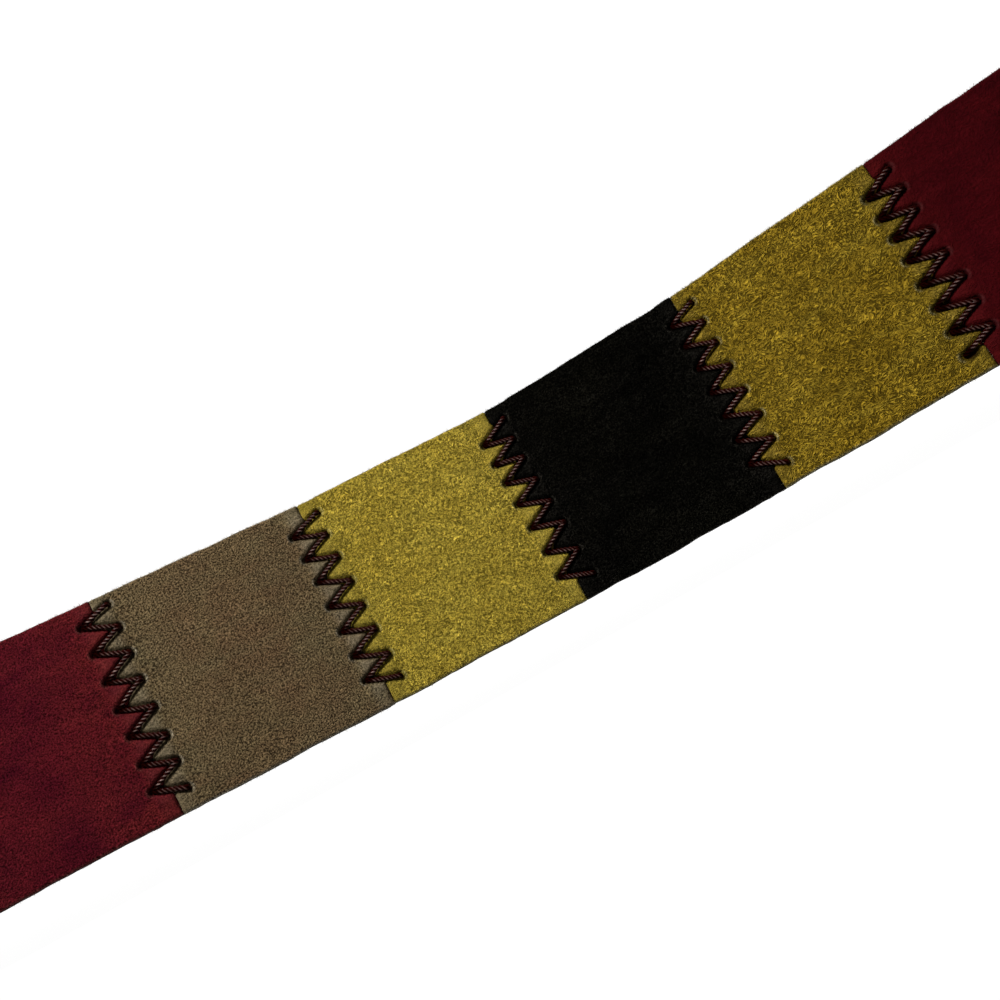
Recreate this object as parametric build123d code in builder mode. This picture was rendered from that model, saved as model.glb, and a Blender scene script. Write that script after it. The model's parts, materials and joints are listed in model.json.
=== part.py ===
from build123d import *
import math
import os

# Patchwork guitar strap, standing on its long edge in a loose double curve.
# Millimetres, +Z up along the strap's width. The origin is the middle of the
# bottom edge of patch 7 (black), on the line where its face and lining meet.
# That patch runs along X and its suede face looks along -Y. The strap is walked
# from its front end (+X side) to its rear end (-X side).
# A heading is the walking direction in degrees, seen from above; the suede face
# is always on the walker's left. "Faceward" is towards the suede.

# ---- strap and patches ----------------------------------------------------
strap_w = 50.8            # 2 in
mid_z = strap_w / 2
pitch = 50.0              # patch length, seam to seam
face_t = 1.3              # suede face ply
lining_t = 1.1            # lining ply
butt = 0.3                # each patch stops this far short of its seam line

patch_names = [
    "patch_01_mustard", "patch_02_black", "patch_03_ochre", "patch_04_red",
    "patch_05_taupe", "patch_06_mustard", "patch_07_black", "patch_08_ochre",
    "patch_09_red", "patch_10_taupe", "patch_11_mustard", "patch_12_black",
]
count = len(patch_names)
middle = patch_names.index("patch_07_black")    # the patch at the origin

# heading change at each seam, degrees, positive faceward:
# front tab | 1 | 2 | ... | 12 | ring loop
bends = [-20, -20, -20, -20, 0, 7, 20, 11, 1, -20, -20, -18, -16]

# ---- needle holes and seam cord -------------------------------------------
hole_x = 3.5              # needle hole to seam line
hole_pitch = 6.1          # along the seam
hole_size = 1.6           # square needle hole
# eight holes just after each seam line, seven just before it
rows_after = [(3.5 - i) * hole_pitch for i in range(8)]
rows_before = [(3.0 - i) * hole_pitch for i in range(7)]

cord_w = 1.35             # seam cord width and thickness
cord_gap = 0.06           # cord to leather
cord_leg = 1.1            # cord where it passes through a hole
cord_overrun = 1.2        # half stitch past the middle of its run
cord_face_y = face_t + cord_gap
cord_lining_y = -lining_t - cord_gap

# ---- end tabs ---------------------------------------------------------------
tab_end_r = 14.0          # rounded tip
button_hole_r = 3.0       # strap button neck
slit_w = 1.2
slit_len = 10.0           # beyond the button hole's edge
slit_overlap = 1.0        # inside the button hole

front_tab_len = 75.0
front_taper = (14.0, 44.0)    # taper start and end, from the first seam

rear_tab_len = 72.0
rear_tab_w = 42.0
rear_tab_t = 2.6
rear_taper = (30.0, 48.0)     # taper start and end, from the tab's square edge

# ---- rivets -----------------------------------------------------------------
rivet_r = 1.6
rivet_cap_r = 4.5
rivet_cap_h = 1.1
rivet_cap_rim = 0.35      # straight edge of the cap
rivet_cap_bevel = 1.2     # cap edge to its flat top
rivet_gap = 0.02          # cap to leather
rivet_clearance = 0.05    # rivet shank in its hole
loop_rivet_x = 16.5       # behind seam 13
loop_rivet_z = 11.0       # either side of the middle line
tab_rivet_x = 12.0        # behind the rear tab's square edge
tab_rivet_z = 11.0

# ---- ring and its leather loop ----------------------------------------------
wire_r = 2.0              # ring wire
wire_corner = 2.6         # corner radius of ring and slider
ring_x = 18.0             # near bar to far bar
ring_half = 22.0          # ring wire centre from the strap's middle line
ring_turn = -20.0         # heading change at the ring's near bar

loop_len = 34.0           # seam 13 to the ring's near bar
loop_w = 38.0             # leather loop width inside the ring
loop_taper = (10.0, 19.0)     # taper start and end, from seam 13
loop_flat_end = 22.0      # where the thickness starts to change towards the eye
loop_outline_end = 50.0   # clear of the eye
loop_cut_y = 8.0          # cuts reach this far either side of the leather
eye_gap = 0.05            # ring bar in its leather eye
loop_leather = 1.2
eye_root_x = 1.6          # the body meets the eye this far before the bar
eye_root_inset = 0.45     # and this far inside the eye's outer radius
eye_y = (face_t - lining_t) / 2
eye_r = wire_r + eye_gap + loop_leather

# ---- webbing, slider and rear tab places --------------------------------------
# x is from the ring's near bar along the tail, y is faceward from it
web_t = 1.4
web_w = 38.0
web_gap = 0.06
web_layer = web_t + web_gap
web_y = wire_r + web_gap + web_t / 2    # webbing centre beside the ring bar
web_under_tab = 24.0
web_cut_y = 2.0           # rivet hole cuts reach this far either side
slider_from_ring = 130.0  # far ring bar to slider centre bar
slider_to_tab = 60.0      # slider centre bar to rear tab
slider_wire_r = 1.6
slider_bar_r = 1.5        # centre bar
slider_half_x = 12.0
slider_half_z = 21.4
slider_x = ring_x + slider_from_ring
slider_y = web_y + web_t / 2 + web_gap + slider_wire_r

sewn_end = 24.0           # end of the fold, from the centre bar
return_gap = 0.02         # sewn end to the returning strip
fold_corner_x = 7.0       # bends beside the centre bar, from the bar
bend_r = 1.5              # tightest bend of the strip's centre line
return_bend_r = 10.0      # gentle bends of the returning strip
return_straight = 8.0     # straight after the ring's far bar
return_lead = 6.0         # returning strip levels out before the sewn end

tab_x = slider_x + slider_to_tab
tab_y = web_y + web_t / 2 + 0.04
rear_tip = tab_x + rear_tab_len - tab_end_r


# ---- shared helpers -----------------------------------------------------------
def unit(deg):
    return (math.cos(math.radians(deg)), math.sin(math.radians(deg)))


def shift(point, deg, ahead, faceward=0.0):
    """The point moved along a heading and towards its face side."""
    u = unit(deg)
    return (point[0] + u[0] * ahead - u[1] * faceward,
            point[1] + u[1] * ahead + u[0] * faceward)


def side_plane(point, deg, y=0.0):
    """Local x along the heading, local y up, offset y faceward; its normal
    looks towards the lining."""
    u = unit(deg)
    return Plane(origin=(*shift(point, deg, 0, y), mid_z),
                 x_dir=(u[0], u[1], 0), z_dir=(u[1], -u[0], 0))


def plan_plane(point, deg, z=0.0):
    """Seen from above: local x along the heading, local y faceward."""
    return Plane(origin=(*point, z), x_dir=(*unit(deg), 0), z_dir=(0, 0, 1))


def mirrored(x, z):
    """A pair of places either side of the middle line."""
    return [(x, z), (x, -z)]


def save(part, name):
    part.label = name
    export_step(part, f"parts/{name}.step")


# ---- headings and seam points ---------------------------------------------------
heading = {middle: 180.0}
for k in range(middle + 1, count):
    heading[k] = heading[k - 1] + bends[k]
for k in range(middle - 1, -1, -1):
    heading[k] = heading[k + 1] - bends[k + 1]
front_heading = heading[0] - bends[0]
loop_heading = heading[count - 1] + bends[count]
tail_heading = loop_heading + ring_turn

seam = {middle: (pitch / 2, 0.0), middle + 1: (-pitch / 2, 0.0)}
for k in range(middle + 2, count + 1):
    seam[k] = shift(seam[k - 1], heading[k - 1], pitch)
for k in range(middle - 1, -1, -1):
    seam[k] = shift(seam[k + 1], heading[k], -pitch)

# centre of the ring's near bar
ring_origin = shift(seam[count], loop_heading, loop_len, eye_y)


# ---- patches: suede face and lining ---------------------------------------------
def ply(k, amount):
    """One layer of patch k, extruded from the line where face and lining meet."""
    half = pitch / 2
    holes = [(-half + hole_x, z) for z in rows_after]
    holes += [(half - hole_x, z) for z in rows_before]
    with BuildPart() as layer:
        with BuildSketch(side_plane(shift(seam[k], heading[k], half), heading[k])):
            Rectangle(pitch - 2 * butt, strap_w)
            with Locations(holes):
                Rectangle(hole_size, hole_size, mode=Mode.SUBTRACT)
        extrude(amount=amount)
    return layer.part


# ---- seam cords: zigzag on both faces, joined through the needle holes -----------
def cord_bands(side):
    """Half stitches from the needle holes to just past the seam line;
    side is 1 after the seam, -1 before it."""
    for i in range(len(rows_after) + len(rows_before) - 1):
        z_after = rows_after[(i + 1) // 2]
        z_before = rows_before[i // 2]
        rise = z_after - z_before
        tilt = math.degrees(math.atan2(rise, 2 * hole_x))
        reach = math.hypot(2 * hole_x, rise) / 2 + cord_overrun
        start_z, turn = (z_after, tilt) if side > 0 else (z_before, tilt + 180)
        u = unit(turn)
        back = reach / 2 - cord_w / 2
        centre = (side * hole_x - u[0] * back, start_z - u[1] * back, 0)
        with Locations(Location(centre, (0, 0, turn))):
            Rectangle(reach, cord_w)


def half_cord(point, deg, side, mitre, keep):
    """The cord on one side of a seam, cut at the seam's mitre plane."""
    rows = rows_after if side > 0 else rows_before
    with BuildPart() as half:
        for y, amount in ((cord_face_y, -cord_w), (cord_lining_y, cord_w)):
            with BuildSketch(side_plane(point, deg, y)):
                cord_bands(side)
            extrude(amount=amount)
        with BuildSketch(side_plane(point, deg, cord_lining_y - cord_w / 2)):
            with Locations([(side * hole_x, z) for z in rows]):
                Rectangle(cord_leg, cord_leg)
        extrude(amount=-(cord_face_y - cord_lining_y + cord_w))
        split(bisect_by=mitre, keep=keep)
    return half.part


def seam_cord(j):
    before = front_heading if j == 0 else heading[j - 1]
    after = loop_heading if j == count else heading[j]
    u = unit((before + after) / 2)
    mitre = Plane(origin=(*seam[j], mid_z), x_dir=(-u[1], u[0], 0),
                  z_dir=(u[0], u[1], 0))
    half_after = half_cord(seam[j], after, 1, mitre, Keep.TOP)
    half_before = half_cord(seam[j], before, -1, mitre, Keep.BOTTOM)
    with BuildPart() as cord:
        add(half_after)
        add(half_before)
    return cord.part


# ---- leather tabs -----------------------------------------------------------------
def cut_button_hole(x, side):
    """Button hole at x with its slit running towards side (+1 or -1) in x."""
    with Locations((x, 0)):
        Circle(button_hole_r, mode=Mode.SUBTRACT)
    with Locations((x + side * (button_hole_r + (slit_len - slit_overlap) / 2), 0)):
        SlotOverall(slit_len + slit_overlap, slit_w, mode=Mode.SUBTRACT)


def front_end_tab():
    tip = front_tab_len - tab_end_r
    wide_x, narrow_x = front_taper
    with BuildPart() as tab:
        with BuildSketch(side_plane(seam[0], front_heading, face_t)):
            with BuildLine():
                Polyline((-butt, mid_z), (-wide_x, mid_z), (-narrow_x, tab_end_r),
                         (-tip, tab_end_r))
                ThreePointArc((-tip, tab_end_r), (-front_tab_len, 0),
                              (-tip, -tab_end_r))
                Polyline((-tip, -tab_end_r), (-narrow_x, -tab_end_r),
                         (-wide_x, -mid_z), (-butt, -mid_z), (-butt, mid_z))
            make_face()
            with Locations([(-hole_x, z) for z in rows_before]):
                Rectangle(hole_size, hole_size, mode=Mode.SUBTRACT)
            cut_button_hole(-tip, 1)
        extrude(amount=face_t + lining_t)
    return tab.part


def ring_loop_tab():
    """Leather folded round the ring's near bar."""
    root_x = loop_len - eye_root_x
    root_half = eye_r - eye_root_inset
    wide_x, narrow_x = loop_taper
    half_w = loop_w / 2
    cut_plane = side_plane(seam[count], loop_heading, loop_cut_y)
    with BuildPart() as tab:
        # side profile over the full strap width
        with BuildSketch(plan_plane(seam[count], loop_heading)):
            with BuildLine():
                Polyline((butt, -lining_t), (loop_flat_end, -lining_t),
                         (root_x, eye_y - root_half), (root_x, eye_y + root_half),
                         (loop_flat_end, face_t), (butt, face_t), (butt, -lining_t))
            make_face()
            with Locations((loop_len, eye_y)):
                Circle(eye_r)
                Circle(wire_r + eye_gap, mode=Mode.SUBTRACT)
        extrude(amount=strap_w)
        # trimmed to the tapered outline
        with BuildSketch(cut_plane):
            with BuildLine():
                Polyline((butt, mid_z), (wide_x, mid_z), (narrow_x, half_w),
                         (loop_outline_end, half_w), (loop_outline_end, -half_w),
                         (narrow_x, -half_w), (wide_x, -mid_z), (butt, -mid_z),
                         (butt, mid_z))
            make_face()
        extrude(amount=2 * loop_cut_y, mode=Mode.INTERSECT)
        # needle and rivet holes
        with BuildSketch(cut_plane):
            with Locations([(hole_x, z) for z in rows_after]):
                Rectangle(hole_size, hole_size)
            with Locations(mirrored(loop_rivet_x, loop_rivet_z)):
                Circle(rivet_r + rivet_clearance)
        extrude(amount=2 * loop_cut_y, mode=Mode.SUBTRACT)
    return tab.part


def rear_end_tab():
    half_w = rear_tab_w / 2
    wide_x, narrow_x = (tab_x + x for x in rear_taper)
    with BuildPart() as tab:
        with BuildSketch(side_plane(ring_origin, tail_heading, tab_y)):
            with BuildLine():
                Polyline((rear_tip, -tab_end_r), (narrow_x, -tab_end_r),
                         (wide_x, -half_w), (tab_x, -half_w), (tab_x, half_w),
                         (wide_x, half_w), (narrow_x, tab_end_r),
                         (rear_tip, tab_end_r))
                ThreePointArc((rear_tip, tab_end_r), (rear_tip + tab_end_r, 0),
                              (rear_tip, -tab_end_r))
            make_face()
            cut_button_hole(rear_tip, -1)
            with Locations(mirrored(tab_x + tab_rivet_x, tab_rivet_z)):
                Circle(rivet_r + rivet_clearance, mode=Mode.SUBTRACT)
        extrude(amount=-rear_tab_t)
    return tab.part


# ---- rivets -------------------------------------------------------------------------
def rivet_pair(foot, deg, offset_z, low_leather, high_leather):
    """Two double-cap rivets clamping the leather between two faceward offsets."""
    low = low_leather - rivet_gap
    high = high_leather + rivet_gap
    flat_r = rivet_cap_r - rivet_cap_bevel
    half_section = [
        (0, low - rivet_cap_h), (flat_r, low - rivet_cap_h),
        (rivet_cap_r, low - rivet_cap_rim), (rivet_cap_r, low),
        (rivet_r, low), (rivet_r, high),
        (rivet_cap_r, high), (rivet_cap_r, high + rivet_cap_rim),
        (flat_r, high + rivet_cap_h), (0, high + rivet_cap_h),
        (0, low - rivet_cap_h),
    ]
    with BuildPart() as rivets:
        for z in (mid_z + offset_z, mid_z - offset_z):
            with BuildSketch(plan_plane(foot, deg, z)):
                with BuildLine():
                    Polyline(*half_section)
                make_face()
            revolve(axis=Axis((*foot, z), (*unit(deg + 90), 0)))
    return rivets.part


# ---- wire ring and three-bar slider ---------------------------------------------------
def rounded_loop(x0, x1, half_h, corner):
    """Closed rounded rectangle of centre lines, starting on the bar at x0."""
    inset = corner * (1 - math.sqrt(0.5))    # arc middle from the square corner
    in_x0, in_x1, in_h = x0 + corner, x1 - corner, half_h - corner
    arc_x0, arc_x1, arc_h = x0 + inset, x1 - inset, half_h - inset
    Line((x0, 0), (x0, in_h))
    ThreePointArc((x0, in_h), (arc_x0, arc_h), (in_x0, half_h))
    Line((in_x0, half_h), (in_x1, half_h))
    ThreePointArc((in_x1, half_h), (arc_x1, arc_h), (x1, in_h))
    Line((x1, in_h), (x1, -in_h))
    ThreePointArc((x1, -in_h), (arc_x1, -arc_h), (in_x1, -half_h))
    Line((in_x1, -half_h), (in_x0, -half_h))
    ThreePointArc((in_x0, -half_h), (arc_x0, -arc_h), (x0, -in_h))
    Line((x0, -in_h), (x0, 0))


def wire_ring():
    with BuildPart() as ring:
        with BuildLine(side_plane(ring_origin, tail_heading)) as path:
            rounded_loop(0, ring_x, ring_half, wire_corner)
        with BuildSketch(Plane(origin=(*ring_origin, mid_z), z_dir=(0, 0, 1))):
            Circle(wire_r)
        sweep(path=path.line)
    return ring.part


def slider():
    near_x = slider_x - slider_half_x
    near_bar = shift(ring_origin, tail_heading, near_x, slider_y)
    centre_bar = shift(near_bar, tail_heading, slider_half_x)
    with BuildPart() as frame:
        with BuildLine(side_plane(ring_origin, tail_heading, slider_y)) as path:
            rounded_loop(near_x, slider_x + slider_half_x, slider_half_z, wire_corner)
        with BuildSketch(Plane(origin=(*near_bar, mid_z), z_dir=(0, 0, 1))):
            Circle(slider_wire_r)
        sweep(path=path.line)
        with BuildSketch(Plane(origin=(*centre_bar, mid_z - slider_half_z),
                               z_dir=(0, 0, 1))):
            Circle(slider_bar_r)
        extrude(amount=2 * slider_half_z)
    return frame.part


# ---- webbing tail -----------------------------------------------------------------------
# The centre line is a list of tangent pieces, seen from above:
# ("line", start, end) or ("arc", centre, radius, start direction, turn), radians.
def bar_tangent(point, radius, upper):
    """Where the line from a point touches a circle round the slider's centre
    bar, and the line's direction."""
    dx, dy = slider_x - point[0], slider_y - point[1]
    distance = math.hypot(dx, dy)
    turn = math.asin(radius / distance)
    angle = math.atan2(dy, dx) + (turn if upper else -turn)
    run = math.sqrt(distance * distance - radius * radius)
    return shift(point, math.degrees(angle), run), angle


def chain(points, radii):
    """Lines through the points with an arc of each radius at each corner."""
    pieces = []
    here = points[0]
    for corner, target, radius in zip(points[1:-1], points[2:], radii):
        a_in = math.atan2(corner[1] - here[1], corner[0] - here[0])
        a_out = math.atan2(target[1] - corner[1], target[0] - corner[0])
        turn = (a_out - a_in + math.pi) % (2 * math.pi) - math.pi
        trim = radius * math.tan(abs(turn) / 2)
        side = 1 if turn > 0 else -1
        arc_start = shift(corner, math.degrees(a_in), -trim)
        centre = shift(arc_start, math.degrees(a_in), 0, side * radius)
        pieces.append(("line", here, arc_start))
        pieces.append(("arc", centre, radius, a_in, turn))
        here = shift(corner, math.degrees(a_out), trim)
    pieces.append(("line", here, points[-1]))
    return pieces


def beside(piece, offset):
    """Points (start, end) or (start, middle, end) at the offset to the left."""
    if piece[0] == "line":
        start, end = piece[1:]
        deg = math.degrees(math.atan2(end[1] - start[1], end[0] - start[0]))
        return [shift(start, deg, 0, offset), shift(end, deg, 0, offset)]
    centre, radius, direction, turn = piece[1:]
    side = 1 if turn > 0 else -1
    return [shift(centre, math.degrees(direction + turn * part - side * math.pi / 2),
                  radius - side * offset)
            for part in (0, 0.5, 1)]


def webbing_centre_line():
    """One strip: from the rear tab, under the slider's outer bars and over its
    centre bar, round the ring's far bar, back, and round the centre bar to a
    sewn end."""
    bar = (slider_x, slider_y)
    fold_in = slider_bar_r + web_gap + web_t / 2    # fold round the centre bar
    fold_out = fold_in + web_layer                  # strip passing over the fold
    end_y = web_y - web_layer                       # sewn end, just under the strip
    back_y = end_y - web_t - return_gap             # returning strip under the end

    end_corner = (slider_x - fold_corner_x, end_y)
    end_top, end_a = bar_tangent(end_corner, fold_in, True)
    back_corner = (slider_x - fold_corner_x, back_y)
    back_top, back_a = bar_tangent(back_corner, fold_in, False)
    rise_x = fold_corner_x + web_layer * math.tan(end_a / 2)
    rise_corner = (slider_x - rise_x, web_y)
    rise_top, rise_a = bar_tangent(rise_corner, fold_out, True)
    fall_top = (2 * slider_x - rise_top[0], rise_top[1])

    # rear tab to the centre bar, over it, and on to the ring
    strip = chain([(tab_x + web_under_tab, web_y), (slider_x + rise_x, web_y),
                   fall_top], [bend_r])
    strip.append(("arc", bar, fold_out, math.pi - rise_a, 2 * rise_a))
    strip += chain([rise_top, rise_corner, (ring_x, web_y)], [bend_r])
    # round the far ring bar and back
    strip.append(("arc", (ring_x, 0), web_y, math.pi, math.pi))
    strip += chain([(ring_x, -web_y), (ring_x + return_straight, -web_y),
                    (slider_x - sewn_end - return_lead, back_y),
                    back_corner, back_top],
                   [return_bend_r, return_bend_r, bend_r + 2 * web_layer])
    # round the centre bar to the sewn end
    strip.append(("arc", bar, fold_in, back_a, math.pi + end_a - back_a))
    strip += chain([end_top, end_corner, (slider_x - sewn_end, end_y)],
                   [bend_r + web_layer])
    return strip


def webbing_tail():
    strip = webbing_centre_line()
    half_t = web_t / 2
    with BuildPart() as webbing:
        with BuildSketch(plan_plane(ring_origin, tail_heading, mid_z - web_w / 2)):
            with BuildLine():
                for offset in (half_t, -half_t):
                    for piece in strip:
                        points = beside(piece, offset)
                        if len(points) == 2:
                            Line(*points)
                        else:
                            ThreePointArc(*points)
                for piece, end in ((strip[0], 0), (strip[-1], -1)):
                    Line(beside(piece, half_t)[end], beside(piece, -half_t)[end])
            make_face()
        extrude(amount=web_w)
        with BuildSketch(side_plane(ring_origin, tail_heading, web_y + web_cut_y)):
            with Locations(mirrored(tab_x + tab_rivet_x, tab_rivet_z)):
                Circle(rivet_r + rivet_clearance)
        extrude(amount=2 * web_cut_y, mode=Mode.SUBTRACT)
    return webbing.part


# ---- build and export ---------------------------------------------------------------------
os.makedirs("parts", exist_ok=True)

for k, name in enumerate(patch_names):
    save(ply(k, -face_t), name)
    save(ply(k, lining_t), f"lining_{k + 1:02d}")
for j in range(count + 1):
    save(seam_cord(j), f"seam_cord_{j + 1:02d}")

save(front_end_tab(), "front_end_tab")
save(ring_loop_tab(), "ring_loop_tab")
loop_rivet_foot = shift(seam[count], loop_heading, loop_rivet_x)
save(rivet_pair(loop_rivet_foot, loop_heading, loop_rivet_z, -lining_t, face_t),
     "loop_rivets")
save(wire_ring(), "wire_ring")
save(slider(), "slider")
save(webbing_tail(), "webbing_tail")
save(rear_end_tab(), "rear_end_tab")
tab_rivet_foot = shift(ring_origin, tail_heading, tab_x + tab_rivet_x)
save(rivet_pair(tab_rivet_foot, tail_heading, tab_rivet_z, web_y - web_t / 2,
                tab_y + rear_tab_t), "tab_rivets")
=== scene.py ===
# A strap of twelve suede patches sewn edge to edge with cord, lined with leather. It stands
# on a long edge: z runs across its width, and it winds through the x-y plane. The front tab
# is sewn on at seam 0. After the last seam come a leather loop, a wire ring, a webbing tail
# folded round a slider, and the rear tab. Lengths are in mm until a mesh is made.
import json
import math

import bmesh
import bpy
import numpy as np
from mathutils import Matrix, Vector, geometry


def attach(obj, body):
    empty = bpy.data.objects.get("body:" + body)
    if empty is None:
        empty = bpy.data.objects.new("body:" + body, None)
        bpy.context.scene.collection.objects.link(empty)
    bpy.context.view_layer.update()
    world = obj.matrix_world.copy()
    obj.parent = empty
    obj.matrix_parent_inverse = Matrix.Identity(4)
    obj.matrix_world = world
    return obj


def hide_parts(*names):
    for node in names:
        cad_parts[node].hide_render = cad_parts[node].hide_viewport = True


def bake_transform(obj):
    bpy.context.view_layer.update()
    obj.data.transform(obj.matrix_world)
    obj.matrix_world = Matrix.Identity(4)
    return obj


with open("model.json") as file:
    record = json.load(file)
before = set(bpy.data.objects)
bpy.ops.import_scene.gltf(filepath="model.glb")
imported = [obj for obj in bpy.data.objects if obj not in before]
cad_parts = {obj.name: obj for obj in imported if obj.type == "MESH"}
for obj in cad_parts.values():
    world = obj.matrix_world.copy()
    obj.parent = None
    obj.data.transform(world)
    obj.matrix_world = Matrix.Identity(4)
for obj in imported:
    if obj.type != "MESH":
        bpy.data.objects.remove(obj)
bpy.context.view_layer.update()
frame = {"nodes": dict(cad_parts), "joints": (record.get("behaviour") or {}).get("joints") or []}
JOINTS = {joint["name"]: joint for joint in frame["joints"]}
SCENE = bpy.context.scene
SCENE.view_settings.view_transform = "Standard"
SCENE.view_settings.look = "None"

# ---------------------------------------------------------------- driving dimensions
WIDTH = 50.8
MID = WIDTH / 2
HALF = 25.0             # half a patch along the strap, seam to middle
SUEDE_T = 1.3
LINING_T = 1.1
BUTT_GAP = 0.02         # half the gap between two patches
BITE_AFTER = 3.62       # seam line to needle hole, behind and before the seam
BITE_BEFORE = 3.25
HOLE_PITCH = 6.1
CORD_R = 0.55
SWING = 0.44            # how far the cut edges follow the stitches sideways
COUNT = 12              # patches
FINE = 0.30       # grid step of the suede
PLATE_STEP = 0.55
TAB_EDGE = 0.15         # front tab and loop are this much narrower on each side
NOSE_R = 14.0           # rounded ends of both tabs
RIVET_Z = (11.0, -11.0)
LOOP_RIVET_X = 16.5

WEB_T = 1.4
WEB_HALF_W = 19.0
WEFT_PITCH = 1.5
RING_LENGTH = 18.0
RING_WIRE_R = 2.0
WEB_Y = 2.76            # middle of the webbing where it runs straight
SLIDER_X = 148.0
SLIDER_WIRE_R = 1.6
SLIDER_BAR_R = 1.5
WIRE_CORNER = 2.6
GAP = 0.06
SLIDER_Y = WEB_Y + WEB_T / 2 + GAP + SLIDER_WIRE_R
TAB_X = SLIDER_X + 60.0
TAB_Y = WEB_Y + WEB_T / 2 + 0.04
TAB_T = 2.6
TAB_RIVET_X = TAB_X + 12.0
WEB_END_X = TAB_X + 24

PATCH_NODES = sorted(node for node in frame["nodes"] if node.startswith("patch_"))
COLOURS = [node.split("_")[2] for node in PATCH_NODES]
SEAM_JOINTS = [JOINTS["seam_%02d_bend" % (j + 1)] for j in range(COUNT + 1)]
SEAM = [np.array(joint["pos_m"][:2]) * 1000 for joint in SEAM_JOINTS]
BEND = [-sum(joint["range_deg"]) / 2 for joint in SEAM_JOINTS]
HEAD = [math.degrees(math.atan2(*(SEAM[k + 1] - SEAM[k])[::-1])) % 360 for k in range(COUNT)]
FRONT_HEAD = HEAD[0] - BEND[0]
LOOP_HEAD = HEAD[-1] + BEND[-1]
TAIL_HEAD = LOOP_HEAD - 20.0
RING_ORIGIN = np.array(JOINTS["ring_swing"]["pos_m"][:2]) * 1000


def direction(degrees):
    return np.array([math.cos(math.radians(degrees)), math.sin(math.radians(degrees))])


def smooth(t):
    t = np.clip(t, 0, 1)
    return t * t * (3 - 2 * t)


def bell(t):
    return np.exp(-np.asarray(t) ** 2)


# ---------------------------------------------------------------- the strap's own coordinates
class Panel:
    """One flat patch whose last few millimetres curve towards its neighbours.
    along runs from the patch's middle to the rear, y towards the suede face."""

    def __init__(self, centre, heading, bend_front, bend_rear, ease_front, ease_rear):
        self.centre = np.array(centre, float)
        cos, sin = direction(heading)
        self.rotation = np.array([[cos, -sin], [sin, cos]])
        self.rear = self.trace_half(bend_rear, ease_rear)
        self.front = self.trace_half(bend_front, ease_front)
        self.len_rear, self.len_front = self.rear[0][-1], self.front[0][-1]

    @staticmethod
    def trace_half(bend, ease):
        """Run, x, y and angle from the middle to the seam. The run is lengthened until
        the curve ends on the seam's mitre line."""
        length = HALF
        half_bend = math.radians(bend / 2)
        for _ in range(6):
            run = np.linspace(0, length, 1201)
            angle = half_bend * smooth((run - (length - ease)) / ease)
            step = np.diff(run)
            cos, sin = np.cos(angle), np.sin(angle)
            x = np.concatenate([[0], np.cumsum((cos[1:] + cos[:-1]) / 2 * step)])
            y = np.concatenate([[0], np.cumsum((sin[1:] + sin[:-1]) / 2 * step)])
            length += (HALF - y[-1] * math.tan(half_bend)) - x[-1]
        return run, x, y, angle

    def place(self, along, y):
        along, y = np.broadcast_arrays(np.asarray(along, float), np.asarray(y, float))
        out = np.zeros(along.shape + (2,))
        for sign, (run, line_x, line_y, line_angle) in ((1, self.rear), (-1, self.front)):
            part = (along >= 0) if sign > 0 else (along < 0)
            reach = np.abs(along[part])
            over = np.maximum(reach - run[-1], 0)
            reach = np.minimum(reach, run[-1])
            angle = np.interp(reach, run, line_angle)
            base_x = np.interp(reach, run, line_x) + over * np.cos(angle)
            base_y = np.interp(reach, run, line_y) + over * np.sin(angle)
            base_x, angle = base_x * sign, angle * sign
            out[part, 0] = base_x - y[part] * np.sin(angle)
            out[part, 1] = base_y + y[part] * np.cos(angle)
        return self.centre + out @ self.rotation.T


# length over which a patch curves, at each end; the end seams curve more tightly
EASE = [6.0] + [8.0] * (COUNT - 1) + [6.0]
NO_EASE = 0.01
PANELS = [
    Panel((SEAM[k] + SEAM[k + 1]) / 2, HEAD[k], BEND[k], BEND[k + 1], EASE[k], EASE[k + 1])
    for k in range(COUNT)
]
FRONT_PANEL = Panel(SEAM[0] - HALF * direction(FRONT_HEAD), FRONT_HEAD, 0, BEND[0],
                    NO_EASE, EASE[0])
LOOP_PANEL = Panel(SEAM[COUNT] + HALF * direction(LOOP_HEAD), LOOP_HEAD, BEND[COUNT], 0,
                   EASE[COUNT], NO_EASE)
CHAIN = [FRONT_PANEL] + PANELS + [LOOP_PANEL]
BODIES = ["front_tab"] + ["patch_%02d" % (k + 1) for k in range(COUNT)] + ["ring_loop"]


def seam_place(j, off, y):
    """off is the distance from seam j's line, negative on the front side."""
    before, after = CHAIN[j], CHAIN[j + 1]
    out = np.zeros(off.shape + (2,))
    front = off < 0
    out[front] = before.place(before.len_rear + off[front], y[front])
    out[~front] = after.place(-after.len_front + off[~front], y[~front])
    return out


def front_place(x, y, z):
    """Front tab: x is 0 at seam 0 and negative towards the tab's nose."""
    length = FRONT_PANEL.len_rear
    along = np.where(x > -HALF, length + x * length / HALF, HALF + x)
    return np.column_stack([FRONT_PANEL.place(along, y), z + MID])


def loop_place(x, y, z):
    """Ring loop: x is 0 at the last seam and grows towards the ring."""
    length = LOOP_PANEL.len_front
    along = np.where(x < HALF, -length + x * length / HALF, x - HALF)
    return np.column_stack([LOOP_PANEL.place(along, y), z + MID])


def tail_place(x, y, z):
    """Ring, webbing, slider and rear tab: x starts at the ring's near bar."""
    x, y = np.asarray(x, float), np.asarray(y, float)
    plan = (RING_ORIGIN + x[:, None] * direction(TAIL_HEAD)
            + y[:, None] * direction(TAIL_HEAD + 90))
    return np.column_stack([plan, z + MID])


def tail_point(x):
    """A point on the tail's axis, in metres."""
    point = tail_place(np.array([x]), np.array([0.0]), np.array([0.0]))[0] * 0.001
    return tuple(float(value) for value in point)


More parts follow.
